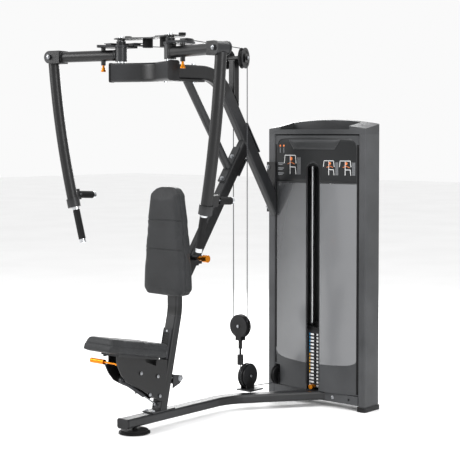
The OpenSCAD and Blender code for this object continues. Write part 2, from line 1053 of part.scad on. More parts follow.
module tie_plate() {
  color("dimgray") {
    difference() {
      translate([0, 0, 1974])
        linear_extrude(6)
          difference() {
            union() {
              polygon([[-205, 66], [205, 66], [212, 130], [190, 170], [100, 185],
                [-100, 185], [-190, 170], [-212, 130]]);
              for (s = [-1, 1])
                translate([s * pivot_x, pivot_y])
                  circle(r = 30, $fn = 64);
            }
            translate([0, 20])
              circle(r = 96, $fn = 96);
          }
      for (s = [-1, 1])
        translate([s * pivot_x, pivot_y, 1960])
          cylinder(r = 12 + 0.05, h = 40, $fn = 64);
    }
    // spacer collars above the cams
    for (s = [-1, 1])
      translate([s * pivot_x, pivot_y, 1966])
        difference() {
          cylinder(r = 20, h = 8, $fn = 64);
          translate([0, 0, -1])
            cylinder(r = 12 + 0.05, h = 20, $fn = 64);
        }
  }
}

module stop_bumpers() {
  color("black")
    for (s = [-1, 1]) {
      translate([s * 60, 164, 1931])
        cylinder(r = 26, h = 43, $fn = 64);
      translate([s * 189, 152, 1980])
        cylinder(r = 18, h = 14, $fn = 64);
    }
}

module cam(s) {
  color("gray")
    flip(s)
      translate([pivot_x, pivot_y, 0])
        difference() {
          union() {
            // grooved sector that winds the cable
            translate([0, 0, groove_z])
              rotate([0, 0, -4])
                rotate_extrude(angle = 120, $fn = 128)
                  difference() {
                    translate([70, -8])
                      square([46, 15]);
                    translate([cam_r - cable_r - gap, -cable_r - gap])
                      square([20, 2 * (cable_r + gap)]);
                  }
            // range plate with its start holes
            translate([0, 0, 1934])
              linear_extrude(11)
                difference() {
                  union() {
                    circle(r = 34, $fn = 64);
                    rotate([0, 0, -54])
                      square([122, 122]);
                    rotate([0, 0, 3])
                      square([112, 112]);
                  }
                  for (k = [-2 : 2])
                    rotate([0, 0, -arm_sweep + 15 * k])
                      translate([pin_x, 0])
                        circle(r = 6.3, $fn = 32);
                  difference() {
                    circle(r = 300, $fn = 64);
                    circle(r = 124, $fn = 128);
                  }
                }
            cylinder_between(1934, 1964, 24);
          }
          translate([0, 0, 1900])
            cylinder(r = 12 + gap, h = 100, $fn = 64);
        }
}

module cylinder_between(z0, z1, r) {
  translate([0, 0, z0])
    cylinder(r = r, h = z1 - z0, $fn = 64);
}

module cam_left() {
  cam(-1);
}

module cam_right() {
  cam(1);
}

module arm_upper(s) {
  r = arm_dia / 2;
  color("dimgray")
    arm_frame(s)
      difference() {
        union() {
          // pivot barrel
          translate([0, 0, top_z + 8.3])
            cylinder(r = 30, h = 1933 - top_z - 8.3, $fn = 96);
          // tube out to the elbow
          translate([20, 0, arm_z])
            rotate([0, 90, 0])
              cylinder(r = r, h = arm_len - 75, $fn = 96);
          // housing of the pull pin
          translate([pin_x, 0, 1845])
            cylinder(r = 12, h = 88, $fn = 48);
          // fork of the elbow hinge
          for (y = [-1, 1])
            translate([elbow_x, y * 36 - 4, arm_z])
              rotate([-90, 0, 0]) {
                cylinder(r = 33, h = 8, $fn = 64);
                translate([-60, -33, 0])
                  cube([60, 66, 8]);
              }
          translate([elbow_x - 62, -40, arm_z - 33])
            cube([15, 80, 66]);
        }
        translate([0, 0, 1800])
          cylinder(r = 12 + gap, h = 200, $fn = 64);
        translate([pin_x, 0, 1800])
          cylinder(r = 6 + gap, h = 200, $fn = 48);
        translate([elbow_x, 50, arm_z])
          rotate([90, 0, 0])
            cylinder(r = 8 + 0.05, h = 100, $fn = 48);
        translate([40, 0, arm_z])
          rotate([0, 90, 0])
            cylinder(r = r - wall, h = 50, $fn = 96);
      }
  color("silver")
    arm_frame(s) {
      translate([elbow_x, 46, arm_z])
        rotate([90, 0, 0])
          cylinder(r = 8, h = 92, $fn = 48);
      for (y = [-1, 1])
        translate([elbow_x, y * 40, arm_z])
          rotate([y * -90, 0, 0])
            cylinder(r = 14, h = 9, $fn = 6);
    }
}

module arm_upper_left() {
  arm_upper(-1);
}

module arm_upper_right() {
  arm_upper(1);
}

// Spring pin of an arm, drawn back clear of the holes in the range plate
module arm_pin(s) {
  arm_frame(s) {
    color("silver")
      translate([pin_x, 0, 1826])
        cylinder(r = 6, h = 105, $fn = 48);
    color("orange") {
      translate([pin_x, 0, 1812])
        cylinder(r = 13, h = 8, $fn = 48);
      translate([pin_x, 0, 1820])
        cylinder(r = 9, h = 12, $fn = 48);
    }
  }
}

module arm_pin_left() {
  arm_pin(-1);
}

module arm_pin_right() {
  arm_pin(1);
}

drop_r = 4600;
drop_start = 4.7;
drop_angle = drop_len / drop_r * 180 / PI;

// Lower end of the curved arm tube: origin at the tube end, local -z along it
module drop_end() {
  translate([elbow_x, 0, arm_z - 20])
    rotate([0, drop_start, 0])
      translate([-drop_r, 0, 0])
        rotate([0, drop_angle, 0])
          translate([drop_r, 0, 0])
            children();
}

module arm_lower(s) {
  r = arm_dia / 2;
  color("dimgray")
    arm_frame(s)
      difference() {
        union() {
          translate([elbow_x, 0, arm_z - 20])
            rotate([0, drop_start, 0])
              translate([-drop_r, 0, 0])
                rotate([-90, 0, 0])
                  rotate_extrude(angle = drop_angle, $fn = 360)
                    translate([drop_r, 0])
                      difference() {
                        circle(r = r, $fn = 64);
                        circle(r = r - wall, $fn = 64);
                      }
          // hinge barrel at the elbow
          translate([elbow_x, 31, arm_z])
            rotate([90, 0, 0])
              cylinder(r = 31, h = 62, $fn = 96);
          // collar and plug that hold the front grip
          drop_end() {
            translate([0, 0, -38])
              cylinder(r = 34, h = 46, $fn = 96);
            // bracket of the rear grip
            translate([-12, 20, 0])
              cube([24, 42, 56]);
          }
        }
        translate([elbow_x, 50, arm_z])
          rotate([90, 0, 0])
            cylinder(r = 8 + gap, h = 100, $fn = 48);
        drop_end()
          translate([-8, 0, -60])
            cylinder(r = 10.05, h = 62, $fn = 48);
      }
}

module arm_lower_left() {
  arm_lower(-1);
}

module arm_lower_right() {
  arm_lower(1);
}

module grips(s) {
  arm_frame(s)
    drop_end() {
      color("silver") {
        translate([-8, 0, -224])
          cylinder(r = 10, h = 224, $fn = 48);
        translate([-8, 0, -228])
          cylinder(r = 17, h = 18, $fn = 48);
        translate([-8, 0, -50])
          cylinder(r = 19, h = 11.9, $fn = 48);
      }
      color("black")
        translate([-8, 0, -210])
          difference() {
            cylinder(r = 17, h = 160, $fn = 48);
            translate([0, 0, -1])
              cylinder(r = 10, h = 170, $fn = 48);
          }
      translate([0, 62, 28])
        rotate([-90 - 6, 0, arm_sweep]) {
          color("silver") {
            cylinder(r = 10, h = 107, $fn = 48);
            translate([0, 0, 97])
              cylinder(r = 17, h = 14, $fn = 48);
          }
          color("black")
            translate([0, 0, 6])
              difference() {
                cylinder(r = 17, h = 91, $fn = 48);
                translate([0, 0, -1])
                  cylinder(r = 10, h = 160, $fn = 48);
              }
        }
    }
}

module grips_left() {
  grips(-1);
}

module grips_right() {
  grips(1);
}

// ---------------------------------------------------------------- back pad and seat
module back_pad() {
  h = pad_w / 2;
  color("dimgray")
    difference() {
      translate([0, pad_front + pad_t, pad_z])
        rotate([90, 0, 0])
          linear_extrude(pad_t)
            union() {
              polygon([[-h + 25, 0], [h - 25, 0], [h, 30], [h, 120], [h - 7, 240], [h - 22, 381],
                [h - 50, pad_h - 36], [h - 74, pad_h - 8], [h - 100, pad_h],
                [-h + 100, pad_h], [-h + 74, pad_h - 8], [-h + 50, pad_h - 36],
                [-h + 22, 381], [-h + 7, 240], [-h, 120], [-h, 30]]);
            }
      // sloped top edge of the front face
      translate([0, pad_front, pad_z + pad_h - 32])
        rotate([-32, 0, 0])
          translate([-200, -100, 0])
            cube([400, 100, 100]);
    }
}

module back_pad_slide() {
  color("black") {
    // backing plate and slide bar
    translate([-80, pad_front + pad_t, 760])
      cube([160, 3, 380]);
    difference() {
      side(slide_w)
        translate([(pad_front + pad_t + 490) / 2 + 1, slide_z])
          square([490 - pad_front - pad_t - 2, slide_h], center = true);
      for (y = [347 : 20 : 467])
        xcyl(6 + gap, 0, 40, y, 850);
    }
  }
}

// Spring pin of the back pad, drawn back clear of the slide bar
module back_pad_pin() {
  color("silver")
    xcyl(6, slide_w / 2 + 1.5, 100, 407, 850);
  color("orange") {
    xcyl(11, leg_w / 2 + 52, leg_w / 2 + 78, 407, 850);
    xcyl(19, leg_w / 2 + 78, leg_w / 2 + 108, 407, 850);
  }
}

module seat_frame() {
  translate([0, -256, 443.5])
    rotate([-seat_tilt, 0, 0])
      children();
}

module seat_pad() {
  color("dimgray")
    seat_frame()
      difference() {
        linear_extrude(66)
          polygon([[-89, -9], [89, -9], [97, 0], [130, 340], [130, 358], [110, 378],
            [-110, 378], [-130, 358], [-130, 340], [-97, 0]]);
        // sloped front and side faces
        translate([-200, -9, 0])
          rotate([-15, 0, 0])
            translate([0, -60, -30])
              cube([400, 60, 200]);
        for (s = [-1, 1])
          translate([s * 91, 0, 40])
            rotate([0, 0, s * -6.2])
              rotate([0, s * -28, 0])
                translate([s > 0 ? 0 : -80, -100, -10])
                  cube([80, 600, 120]);
      }
}

module carriage_plate(far) {
  rear = far
    ? [[152, 140], [174, 146], [300, 206], [316, 236], [300, 262], [232, 290], [196, 346]]
    : [[152, 140], [174, 146], [186, 303], [190, 346]];
  difference() {
    polygon(concat([[-168, 416], [-166, 380], [-155, 351], [-135, 314], [-101, 275],
      [-60, 252], [-4, 226], [124, 151]], rear));
    polygon([[28, 378], [112, 362], [106, 328], [35, 356]]);
  }
}

module seat_carriage() {
  color("dimgray") {
    side(6, 45)
      carriage_plate(false);
    side(6, -45)
      difference() {
        carriage_plate(true);
        // slot that the lever rod moves in
        translate([-190, 362])
          square([56, 40]);
      }
    // cross tubes
    xcyl(12, -42, 42, -60, 285);
    xcyl(6, -42, 42, -2, 306);
    // front roller and its axle
    lean()
      translate([0, -post_t / 2 - 12.3, 60])
        xcyl(12, -42, 42, 0, 0);
    // rear roller, its axle and the outer cheek
    lean()
      translate([0, post_t / 2 + 8 + 16.3, 150]) {
        xcyl(16, -38, 26, 0, 0);
        xcyl(7, -42, 34, 0, 0);
      }
    side(5, 32)
      polygon([[248, 262], [309, 250], [321, 231], [298, 209], [246, 191]]);
    xcyl(13, -42, 34, 300, 236);
    // seat mounting board
    seat_frame()
      translate([-60, 90, -16])
        cube([120, 290, 16 - gap]);
  }
  color("silver") {
    for (p = [[-2, 306], [60, 189], [118, 273], [132, 171]])
      xcyl(8, 48, 52, p[0], p[1]);
  }
}

module seat_lever() {
  color("silver") {
    xcyl(5, -52, 38, -155, 371);
    side(6, 33)
      difference() {
        polygon([[2, 315], [-6, 297], [-160, 364], [-152, 380]]);
        translate([-2, 306])
          circle(r = 6 + gap, $fn = 48);
      }
    difference() {
      xcyl(11, 26, 38, -2, 306);
      xcyl(6 + gap, 0, 50, -2, 306);
    }
  }
  color("orange")
    xcyl(13, -145, -51.9, -155, 371);
}

strut_top = [20, -106, 281];
strut_bot = [20, 137, 122];

module gas_strut_body() {
  v = (strut_bot - strut_top) / norm(strut_bot - strut_top);
  color("black")
    difference() {
      union() {
        rod(strut_top + v * 14, strut_top + v * 180, 9.5);
        xcyl(15, 12, 28, strut_top[1], strut_top[2]);
      }
      xcyl(6 + gap, 0, 40, strut_top[1], strut_top[2]);
      rod(strut_top + v * 25, strut_top + v * 190, 4 + gap);
    }
}

module gas_strut_rod() {
  v = (strut_bot - strut_top) / norm(strut_bot - strut_top);
  color("silver")
    difference() {
      union() {
        rod(strut_top + v * 45, strut_bot - v * 10, 4);
        xcyl(12, 13, 22, strut_bot[1], strut_bot[2]);
      }
      xcyl(5 + gap, 0, 40, strut_bot[1], strut_bot[2]);
    }
}

base_beam();
tube_end_caps();
front_foot();
seat_post();
seat_tracks();
back_strut();
overhead_leg();
joint_plates();
brace_tube();
pivot_yoke();
rear_mast();
frame_bolts();
tower_post_left();
tower_post_right();
tower_crossmembers();
tower_cap();
placard_panel();
smoked_panel();
lower_panel();
rear_panel();
tower_feet();
guide_rods();
stack_bumpers();
weight_plates();
stack_head();
selector_pin();
tower_pulley_brackets();
top_pulley_left();
top_pulley_right();
tower_pulley();
beam_pulley_bracket();
beam_pulley();
floating_pulley_frame();
floating_pulley();
mast_pulley_left();
mast_pulley_right();
stack_cable();
arm_cable_left();
arm_cable_right();
pivot_shafts();
tie_plate();
stop_bumpers();
cam_left();
cam_right();
arm_upper_left();
arm_upper_right();
arm_pin_left();
arm_pin_right();
arm_lower_left();
arm_lower_right();
grips_left();
grips_right();
back_pad();
back_pad_slide();
back_pad_pin();
seat_pad();
seat_carriage();
seat_lever();
gas_strut_body();
gas_strut_rod();
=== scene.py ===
# %% [markdown]
# A pec fly machine: a steel frame, two swinging arms, a padded seat and back,
# and a tower that holds a stack of weights. The steel comes from the CAD model
# and only needs its finishes here. The soft pads, the printed sheet, the sleeves
# on the grips and other small trim are made in this file.

# %% Load the frame
import math
import bmesh
import bpy
from mathutils import Matrix, Vector
from mathutils.bvhtree import BVHTree


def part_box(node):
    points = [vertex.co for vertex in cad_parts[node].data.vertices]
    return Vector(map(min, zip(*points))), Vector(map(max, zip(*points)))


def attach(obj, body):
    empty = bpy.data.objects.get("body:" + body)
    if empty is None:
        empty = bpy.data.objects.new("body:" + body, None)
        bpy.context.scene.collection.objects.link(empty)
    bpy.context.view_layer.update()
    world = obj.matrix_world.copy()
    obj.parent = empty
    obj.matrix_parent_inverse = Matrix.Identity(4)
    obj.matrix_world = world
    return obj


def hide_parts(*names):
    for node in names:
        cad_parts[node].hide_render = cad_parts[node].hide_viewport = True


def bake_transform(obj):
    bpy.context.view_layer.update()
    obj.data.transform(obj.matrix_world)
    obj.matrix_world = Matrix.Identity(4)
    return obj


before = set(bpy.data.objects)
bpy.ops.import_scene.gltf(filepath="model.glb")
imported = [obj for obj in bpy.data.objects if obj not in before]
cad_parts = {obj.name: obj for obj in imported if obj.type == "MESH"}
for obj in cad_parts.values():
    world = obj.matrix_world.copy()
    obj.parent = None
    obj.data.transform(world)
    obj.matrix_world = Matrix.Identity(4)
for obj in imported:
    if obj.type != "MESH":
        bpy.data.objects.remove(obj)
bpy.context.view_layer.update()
scene = bpy.context.scene

# %% [markdown]
# Colours are easier to choose as sRGB hex values, but shaders work in linear
# light, so one function turns each hex value into the linear colour it stands for.


# %% Colour helper
def linear(hex_colour):
    parts = [int(hex_colour[i:i + 2], 16) / 255 for i in (1, 3, 5)]
    toe = [c / 12.92 if c <= 0.04045 else ((c + 0.055) / 1.055) ** 2.4 for c in parts]
    return (*toe, 1.0)


# %% [markdown]
# The machine is seen from its front and a little from its right, at chest height,
# through a long lens that keeps the uprights nearly parallel. A small downward
# tilt and a small shift share the framing between them.

# %% Camera
VIEW_AZIMUTH = math.radians(40.6)
VIEW_TILT = math.radians(2.25)
look = Vector((-math.sin(VIEW_AZIMUTH) * math.cos(VIEW_TILT),
               math.cos(VIEW_AZIMUTH) * math.cos(VIEW_TILT), -math.sin(VIEW_TILT)))
camera_data = bpy.data.cameras.new("studio_camera")
camera = bpy.data.objects.new("studio_camera", camera_data)
scene.collection.objects.link(camera)
camera.location = (4.4313, -4.4355, 1.4914)
camera.rotation_mode = "QUATERNION"
camera.rotation_quaternion = look.to_track_quat("-Z", "Y")
camera_data.lens = 98.6
camera_data.sensor_width = 36.0
camera_data.shift_y = -0.10
scene.camera = camera
print("camera looks along", tuple(round(v, 3) for v in look))

# %% [markdown]
# A plain studio: a pale floor that runs far back, a pale surround, a large soft
# light to the front left, a narrower one to the right, a long one above and one from
# behind, so that dark powder coat still shows its edges. The Standard view transform
# keeps the surround white.


# %% Studio
def area_light(name, place, aim, size, power):
    data = bpy.data.lights.new(name, "AREA")
    data.shape = "RECTANGLE"
    data.size, data.size_y = size
    data.energy = power
    lamp = bpy.data.objects.new(name, data)
    lamp.location = place
    lamp.rotation_mode = "QUATERNION"
    lamp.rotation_quaternion = (Vector(aim) - Vector(place)).to_track_quat("-Z", "Y")
    scene.collection.objects.link(lamp)


MIDDLE = (0.1, 0.6, 1.0)
area_light("key_light", (-3.2, -3.6, 3.4), MIDDLE, (2.2, 2.6), 190)
area_light("side_light", (4.6, -1.0, 2.2), MIDDLE, (1.2, 3.0), 110)
area_light("top_light", (0.4, 0.4, 4.4), MIDDLE, (3.0, 1.6), 120)
area_light("back_light", (-2.8, 4.2, 2.6), MIDDLE, (2.0, 2.4), 120)
world = bpy.data.worlds.new("studio_surround")
scene.world = world
world.use_nodes = True
world.node_tree.nodes["Background"].inputs["Color"].default_value = linear("#fafafa")
world.node_tree.nodes["Background"].inputs["Strength"].default_value = 1.0
scene.view_settings.view_transform = "Standard"

# %% [markdown]
# Every finish is a small network of shader nodes. One function adds a node, sets
# its options and its unlinked sockets, and joins its inputs to other nodes'
# outputs, so each finish below reads as a list of steps.


# %% Node helper and pattern coordinates
def add(tree, kind, options=None, values=None, links=None):
    node = tree.nodes.new(kind)
    for key, value in (options or {}).items():
        setattr(node, key, value)
    for key, value in (values or {}).items():
        node.inputs[key].default_value = value
    for key, source in (links or {}).items():
        tree.links.new(source, node.inputs[key])
    return node


def start_finish(name):
    material = bpy.data.materials.new(name)
    material.use_nodes = True
    tree = material.node_tree
    shader = tree.nodes["Principled BSDF"]
    place = add(tree, "ShaderNodeTexCoord").outputs["Object"]
    return material, tree, shader, place


# A noise texture shows roughly one blob per unit of scale, so a pattern whose
# grains are so many millimetres across needs 1000 / grain as its scale in metres.
def per_metre(grain_mm):
    return 1000.0 / grain_mm


# %% [markdown]
# Most finishes share a structure: two close shades mixed by a broad cloudy noise,
# rubbed edges found by the surface's pointiness, and a fine grain that drives both
# the bump and the roughness. One function builds it from real sizes.


# %% Two-shade finish with grain and rubbed edges
def grained_finish(name, shades, cloud_mm, grain_mm, grain_height_mm, rough, metallic=0.0,
                   edge=None, ior=1.5, gloss=0.22):
    material, tree, shader, place = start_finish(name)
    cloud = add(tree, "ShaderNodeTexNoise", values={"Scale": per_metre(cloud_mm), "Detail": 4.0},
                links={"Vector": place})
    ramp = add(tree, "ShaderNodeValToRGB", links={"Fac": cloud.outputs["Fac"]})
    ramp.color_ramp.elements[0].position = 0.35
    ramp.color_ramp.elements[1].position = 0.7
    ramp.color_ramp.elements[0].color = linear(shades[0])
    ramp.color_ramp.elements[1].color = linear(shades[1])
    colour = ramp.outputs["Color"]
    grain = add(tree, "ShaderNodeTexNoise", values={"Scale": per_metre(grain_mm), "Detail": 2.0},
                links={"Vector": place})
    if edge:
        point = add(tree, "ShaderNodeNewGeometry").outputs["Pointiness"]
        worn = add(tree, "ShaderNodeMapRange", values={"From Min": 0.52, "From Max": 0.6},
                   links={"Value": point})
        speck = add(tree, "ShaderNodeMath", {"operation": "MULTIPLY"},
                    links={0: worn.outputs["Result"], 1: cloud.outputs["Fac"]})
        mix = add(tree, "ShaderNodeMix", {"data_type": "RGBA"},
                  links={0: speck.outputs[0], 6: colour})
        mix.inputs[7].default_value = linear(edge)
        colour = mix.outputs[2]
    tree.links.new(colour, shader.inputs["Base Color"])
    band = add(tree, "ShaderNodeMapRange", values={"To Min": rough[0], "To Max": rough[1]},
               links={"Value": grain.outputs["Fac"]})
    tree.links.new(band.outputs["Result"], shader.inputs["Roughness"])
    bump = add(tree, "ShaderNodeBump", values={"Strength": 1.0, "Distance": grain_height_mm / 1000},
               links={"Height": grain.outputs["Fac"]})
    tree.links.new(bump.outputs["Normal"], shader.inputs["Normal"])
    shader.inputs["Metallic"].default_value = metallic
    shader.inputs["IOR"].default_value = ior
    shader.inputs["Specular IOR Level"].default_value = gloss
    return material


# %% [markdown]
# The steel tubes are powder coated: a charcoal polyester powder baked on, with a
# fine orange-peel texture. Real grains are about half a millimetre, too fine to
# show here, so they are drawn at 1.6 mm. The panels are the same shade in moulded
# ABS, smoother, and the black parts are nylon or painted steel.

# %% Powder coat, plastics, rubber and painted steel
powder_coat = grained_finish("charcoal_powder_coat", ("#0c0c0d", "#121213"), 180, 1.6, 0.3,
                             (0.28, 0.44), edge="#2c2d2f", gloss=0.36)
tower_coat = grained_finish("grey_powder_coat", ("#2b2c2d", "#323334"), 220, 1.6, 0.3,
                            (0.36, 0.55), edge="#4d4e50")
panel_abs = grained_finish("grey_abs_panel", ("#292a2b", "#303132"), 260, 1.2, 0.12,
                           (0.35, 0.5), edge="#48494b")
placard_film = grained_finish("placard_film", ("#1b1c1d", "#212223"), 300, 1.2, 0.05, (0.3, 0.42))
white_ink = grained_finish("white_ink", ("#d4d5d6", "#e4e4e4"), 20, 1.0, 0.02, (0.45, 0.6))
grey_ink = grained_finish("grey_ink", ("#8d8f92", "#9b9da0"), 20, 1.0, 0.02, (0.45, 0.6))
orange_ink = grained_finish("orange_ink", ("#d0703a", "#dc8248"), 20, 1.0, 0.02, (0.45, 0.6))
blue_ink = grained_finish("blue_ink", ("#2f7fae", "#3d8dba"), 20, 1.0, 0.02, (0.45, 0.6))
yellow_ink = grained_finish("yellow_ink", ("#d9a12c", "#e3ae3c"), 20, 1.0, 0.02, (0.45, 0.6))
black_nylon = grained_finish("black_nylon", ("#0a0a0b", "#101011"), 60, 1.0, 0.1, (0.3, 0.46),
                             edge="#242426")
black_rubber = grained_finish("black_rubber", ("#0b0b0c", "#121213"), 40, 1.4, 0.3, (0.55, 0.8))
stack_paint = grained_finish("stack_enamel", ("#0c0c0d", "#131314"), 90, 1.1, 0.15, (0.3, 0.5),
                             edge="#333437")
cam_paint = grained_finish("satin_black_steel", ("#0f1011", "#171819"), 70, 1.0, 0.15,
                           (0.28, 0.45), edge="#3c3d40")
print("painted finishes made")

# %% [markdown]
# Bare metal parts are chrome-plated or zinc-plated steel, and the knobs are
# anodised aluminium in amber. Plating is smooth with faint polishing lines, so
# its noise is stretched along the part and kept very shallow.


# %% Plated and anodised metals
def drawn_metal(name, shades, rough, line_mm, stretch):
    material, tree, shader, place = start_finish(name)
    squeezed = add(tree, "ShaderNodeMapping", links={"Vector": place})
    squeezed.inputs["Scale"].default_value = stretch
    lines = add(tree, "ShaderNodeTexNoise", values={"Scale": per_metre(line_mm), "Detail": 3.0},
                links={"Vector": squeezed.outputs["Vector"]})
    ramp = add(tree, "ShaderNodeValToRGB", links={"Fac": lines.outputs["Fac"]})
    ramp.color_ramp.elements[0].color = linear(shades[0])
    ramp.color_ramp.elements[1].color = linear(shades[1])
    tree.links.new(ramp.outputs["Color"], shader.inputs["Base Color"])
    band = add(tree, "ShaderNodeMapRange", values={"To Min": rough[0], "To Max": rough[1]},
               links={"Value": lines.outputs["Fac"]})
    tree.links.new(band.outputs["Result"], shader.inputs["Roughness"])
    bump = add(tree, "ShaderNodeBump", values={"Strength": 0.6, "Distance": 0.00008},
               links={"Height": lines.outputs["Fac"]})
    tree.links.new(bump.outputs["Normal"], shader.inputs["Normal"])
    shader.inputs["Metallic"].default_value = 1.0
    return material


chrome = drawn_metal("chrome_plate", ("#b9bbbe", "#dcdee0"), (0.08, 0.2), 3.0, (1.0, 1.0, 0.05))
zinc = drawn_metal("zinc_plated_bolt", ("#7d7f82", "#a9abae"), (0.22, 0.4), 1.5, (1.0, 1.0, 1.0))
ground_steel = drawn_metal("ground_steel_rod", ("#d4d6d8", "#f2f3f4"), (0.28, 0.4), 2.0,
                           (1.0, 1.0, 0.05))
amber = drawn_metal("amber_anodised", ("#b9690f", "#dd8a22"), (0.2, 0.36), 2.0, (1.0, 1.0, 0.2))

# %% [markdown]
# The cables are steel strand in a clear coat. Seen from a step away the lay of the
# strands is a fine diagonal stripe, and a real 1 mm lay is drawn at 3 mm to show. The
# stripe's colour is a painted highlight on each strand and painted shade in the grooves.

# %% Coated steel strand
cable_strand, tree, shader, place = start_finish("coated_steel_strand")
lay = add(tree, "ShaderNodeTexWave", {"wave_type": "BANDS", "bands_direction": "DIAGONAL"},
          values={"Scale": per_metre(3.0) / 6.28, "Distortion": 0.4}, links={"Vector": place})
# painted highlight and painted shade: the strands are lighter and the grooves between them darker
ramp = add(tree, "ShaderNodeValToRGB", links={"Fac": lay.outputs["Fac"]})
ramp.color_ramp.elements[0].color = linear("#1b1c1e")
ramp.color_ramp.elements[1].color = linear("#48494c")
tree.links.new(ramp.outputs["Color"], shader.inputs["Base Color"])
bump = add(tree, "ShaderNodeBump", values={"Strength": 0.8, "Distance": 0.0004},
           links={"Height": lay.outputs["Fac"]})
tree.links.new(bump.outputs["Normal"], shader.inputs["Normal"])
shader.inputs["Metallic"].default_value = 0.25
shader.inputs["Roughness"].default_value = 0.5

# %% [markdown]
# The large front panel is smoked polycarbonate, a few millimetres thick. Its colour
# holds painted shade, darker toward the post it meets and toward the top, and painted
# light, paler where light comes through near the slot and the floor. The colour follows the place
# on the panel.

# %% Smoked polycarbonate
smoked, tree, shader, place = start_finish("smoked_polycarbonate")
panel_low, panel_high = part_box("smoked_panel")
split = add(tree, "ShaderNodeSeparateXYZ", links={"Vector": place})
across = add(tree, "ShaderNodeMapRange",
             values={"From Min": panel_low.x, "From Max": panel_high.x},
             links={"Value": split.outputs["X"]})
upward = add(tree, "ShaderNodeMapRange",
             values={"From Min": panel_high.z, "From Max": panel_low.z},
             links={"Value": split.outputs["Z"]})
# painted shade and painted light: a gradient across and up the panel, darkest at the post and the
# top
both = add(tree, "ShaderNodeMath", {"operation": "MULTIPLY_ADD"}, values={1: 0.55},
           links={0: upward.outputs["Result"], 2: across.outputs["Result"]})
haze = add(tree, "ShaderNodeTexNoise", values={"Scale": per_metre(220), "Detail": 3.0},
           links={"Vector": place})
painted_light_tone = add(tree, "ShaderNodeMath", {"operation": "MULTIPLY_ADD"}, values={1: 0.25},
           links={0: haze.outputs["Fac"], 2: both.outputs[0]})
ramp = add(tree, "ShaderNodeValToRGB", links={"Fac": painted_light_tone.outputs[0]})
ramp.color_ramp.elements[0].position = 0.1
ramp.color_ramp.elements[0].color = linear("#333436")
ramp.color_ramp.elements[1].position = 1.35 / 1.5
ramp.color_ramp.elements[1].color = linear("#737476")
tree.links.new(ramp.outputs["Color"], shader.inputs["Base Color"])
shader.inputs["Roughness"].default_value = 0.22
shader.inputs["IOR"].default_value = 1.58
shader.inputs["Alpha"].default_value = 0.86
shader.inputs["Coat Weight"].default_value = 0.25

# %% [markdown]
# The pads are covered in vinyl, a coated cloth embossed with a leather grain.
# Grain cells are about 1.5 mm wide on the real cloth and are drawn at 3 mm. Fine
# creases come from a cell pattern, and their colour is darkened as painted shade in
# the creases. A broad noise keeps the colour from being even.

# %% Embossed vinyl and thread
vinyl, tree, shader, place = start_finish("embossed_vinyl")
cells = add(tree, "ShaderNodeTexVoronoi", {"feature": "DISTANCE_TO_EDGE"},
            values={"Scale": per_metre(3.0)}, links={"Vector": place})
crease = add(tree, "ShaderNodeMapRange", values={"From Max": 0.12},
             links={"Value": cells.outputs[0]})
cloud = add(tree, "ShaderNodeTexNoise", values={"Scale": per_metre(120), "Detail": 5.0},
            links={"Vector": place})
ramp = add(tree, "ShaderNodeValToRGB", links={"Fac": cloud.outputs["Fac"]})
ramp.color_ramp.elements[0].position = 0.3
ramp.color_ramp.elements[0].color = linear("#242526")
ramp.color_ramp.elements[1].position = 0.75
ramp.color_ramp.elements[1].color = linear("#2e2f31")
# painted shade: the colour is made darker in the grain creases
crease_painted_shade = add(tree, "ShaderNodeMix", {"data_type": "RGBA", "blend_type": "MULTIPLY"},
             values={0: 0.35}, links={6: ramp.outputs["Color"], 7: crease.outputs["Result"]})
tree.links.new(crease_painted_shade.outputs[2], shader.inputs["Base Color"])
shine = add(tree, "ShaderNodeMapRange", values={"To Min": 0.62, "To Max": 0.46},
            links={"Value": crease.outputs["Result"]})
tree.links.new(shine.outputs["Result"], shader.inputs["Roughness"])
bump = add(tree, "ShaderNodeBump", values={"Strength": 0.7, "Distance": 0.0005},
           links={"Height": crease.outputs["Result"]})
tree.links.new(bump.outputs["Normal"], shader.inputs["Normal"])
shader.inputs["Specular IOR Level"].default_value = 0.25
thread = grained_finish("grey_thread", ("#2a2b2d", "#353638"), 10, 0.8, 0.1, (0.6, 0.8))

# %% [markdown]
# Each CAD node keeps its mesh and gets the finish of the real piece. A node that is
# not in a list below would keep the plain colour of the model, so the cell prints
# every node that no list names.

# %% Dress the CAD nodes
FINISHES = {
    tower_coat: ["tower_post_left", "tower_post_right", "tower_crossmembers"],
    powder_coat: ["base_beam", "seat_post", "back_strut", "overhead_leg", "joint_plates",
                  "brace_tube", "pivot_yoke", "rear_mast", "tie_plate", "arm_upper_left",
                  "arm_upper_right", "arm_lower_left", "arm_lower_right", "beam_pulley_bracket",
                  "tower_pulley_brackets", "seat_carriage"],
    panel_abs: ["tower_cap", "lower_panel", "rear_panel", "placard_panel"],
    smoked: ["smoked_panel"],
    black_nylon: ["tube_end_caps", "tower_feet", "beam_pulley", "mast_pulley_left",
                  "mast_pulley_right", "top_pulley_left", "top_pulley_right", "tower_pulley",
                  "floating_pulley", "floating_pulley_frame", "back_pad_slide"],
    black_rubber: ["front_foot", "stack_bumpers", "stop_bumpers"],
    stack_paint: ["weight_plates", "stack_head"],
    cam_paint: ["cam_left", "cam_right", "seat_tracks", "gas_strut_body"],
    ground_steel: ["guide_rods"],
    chrome: ["pivot_shafts", "grips_left", "grips_right"],
    zinc: ["frame_bolts", "gas_strut_rod"],
    amber: ["selector_pin", "arm_pin_left", "arm_pin_right", "back_pad_pin", "seat_lever"],
    cable_strand: ["stack_cable", "arm_cable_left", "arm_cable_right"],
    vinyl: ["seat_pad", "back_pad"],
}
for finish, names in FINISHES.items():
    for name in names:
        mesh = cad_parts[name].data
        mesh.materials.clear()
        mesh.materials.append(finish)
unfinished = set(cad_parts) - {n for names in FINISHES.values() for n in names}
print("nodes without a finish:", sorted(unfinished))


# %% [markdown]
# Small helpers for new pieces: one links a mesh to the scene with a finish, shades
# it smooth above an angle and rides it on a body. Others turn a round profile into a
# lathed piece, and fill a bmesh with a rounded box.


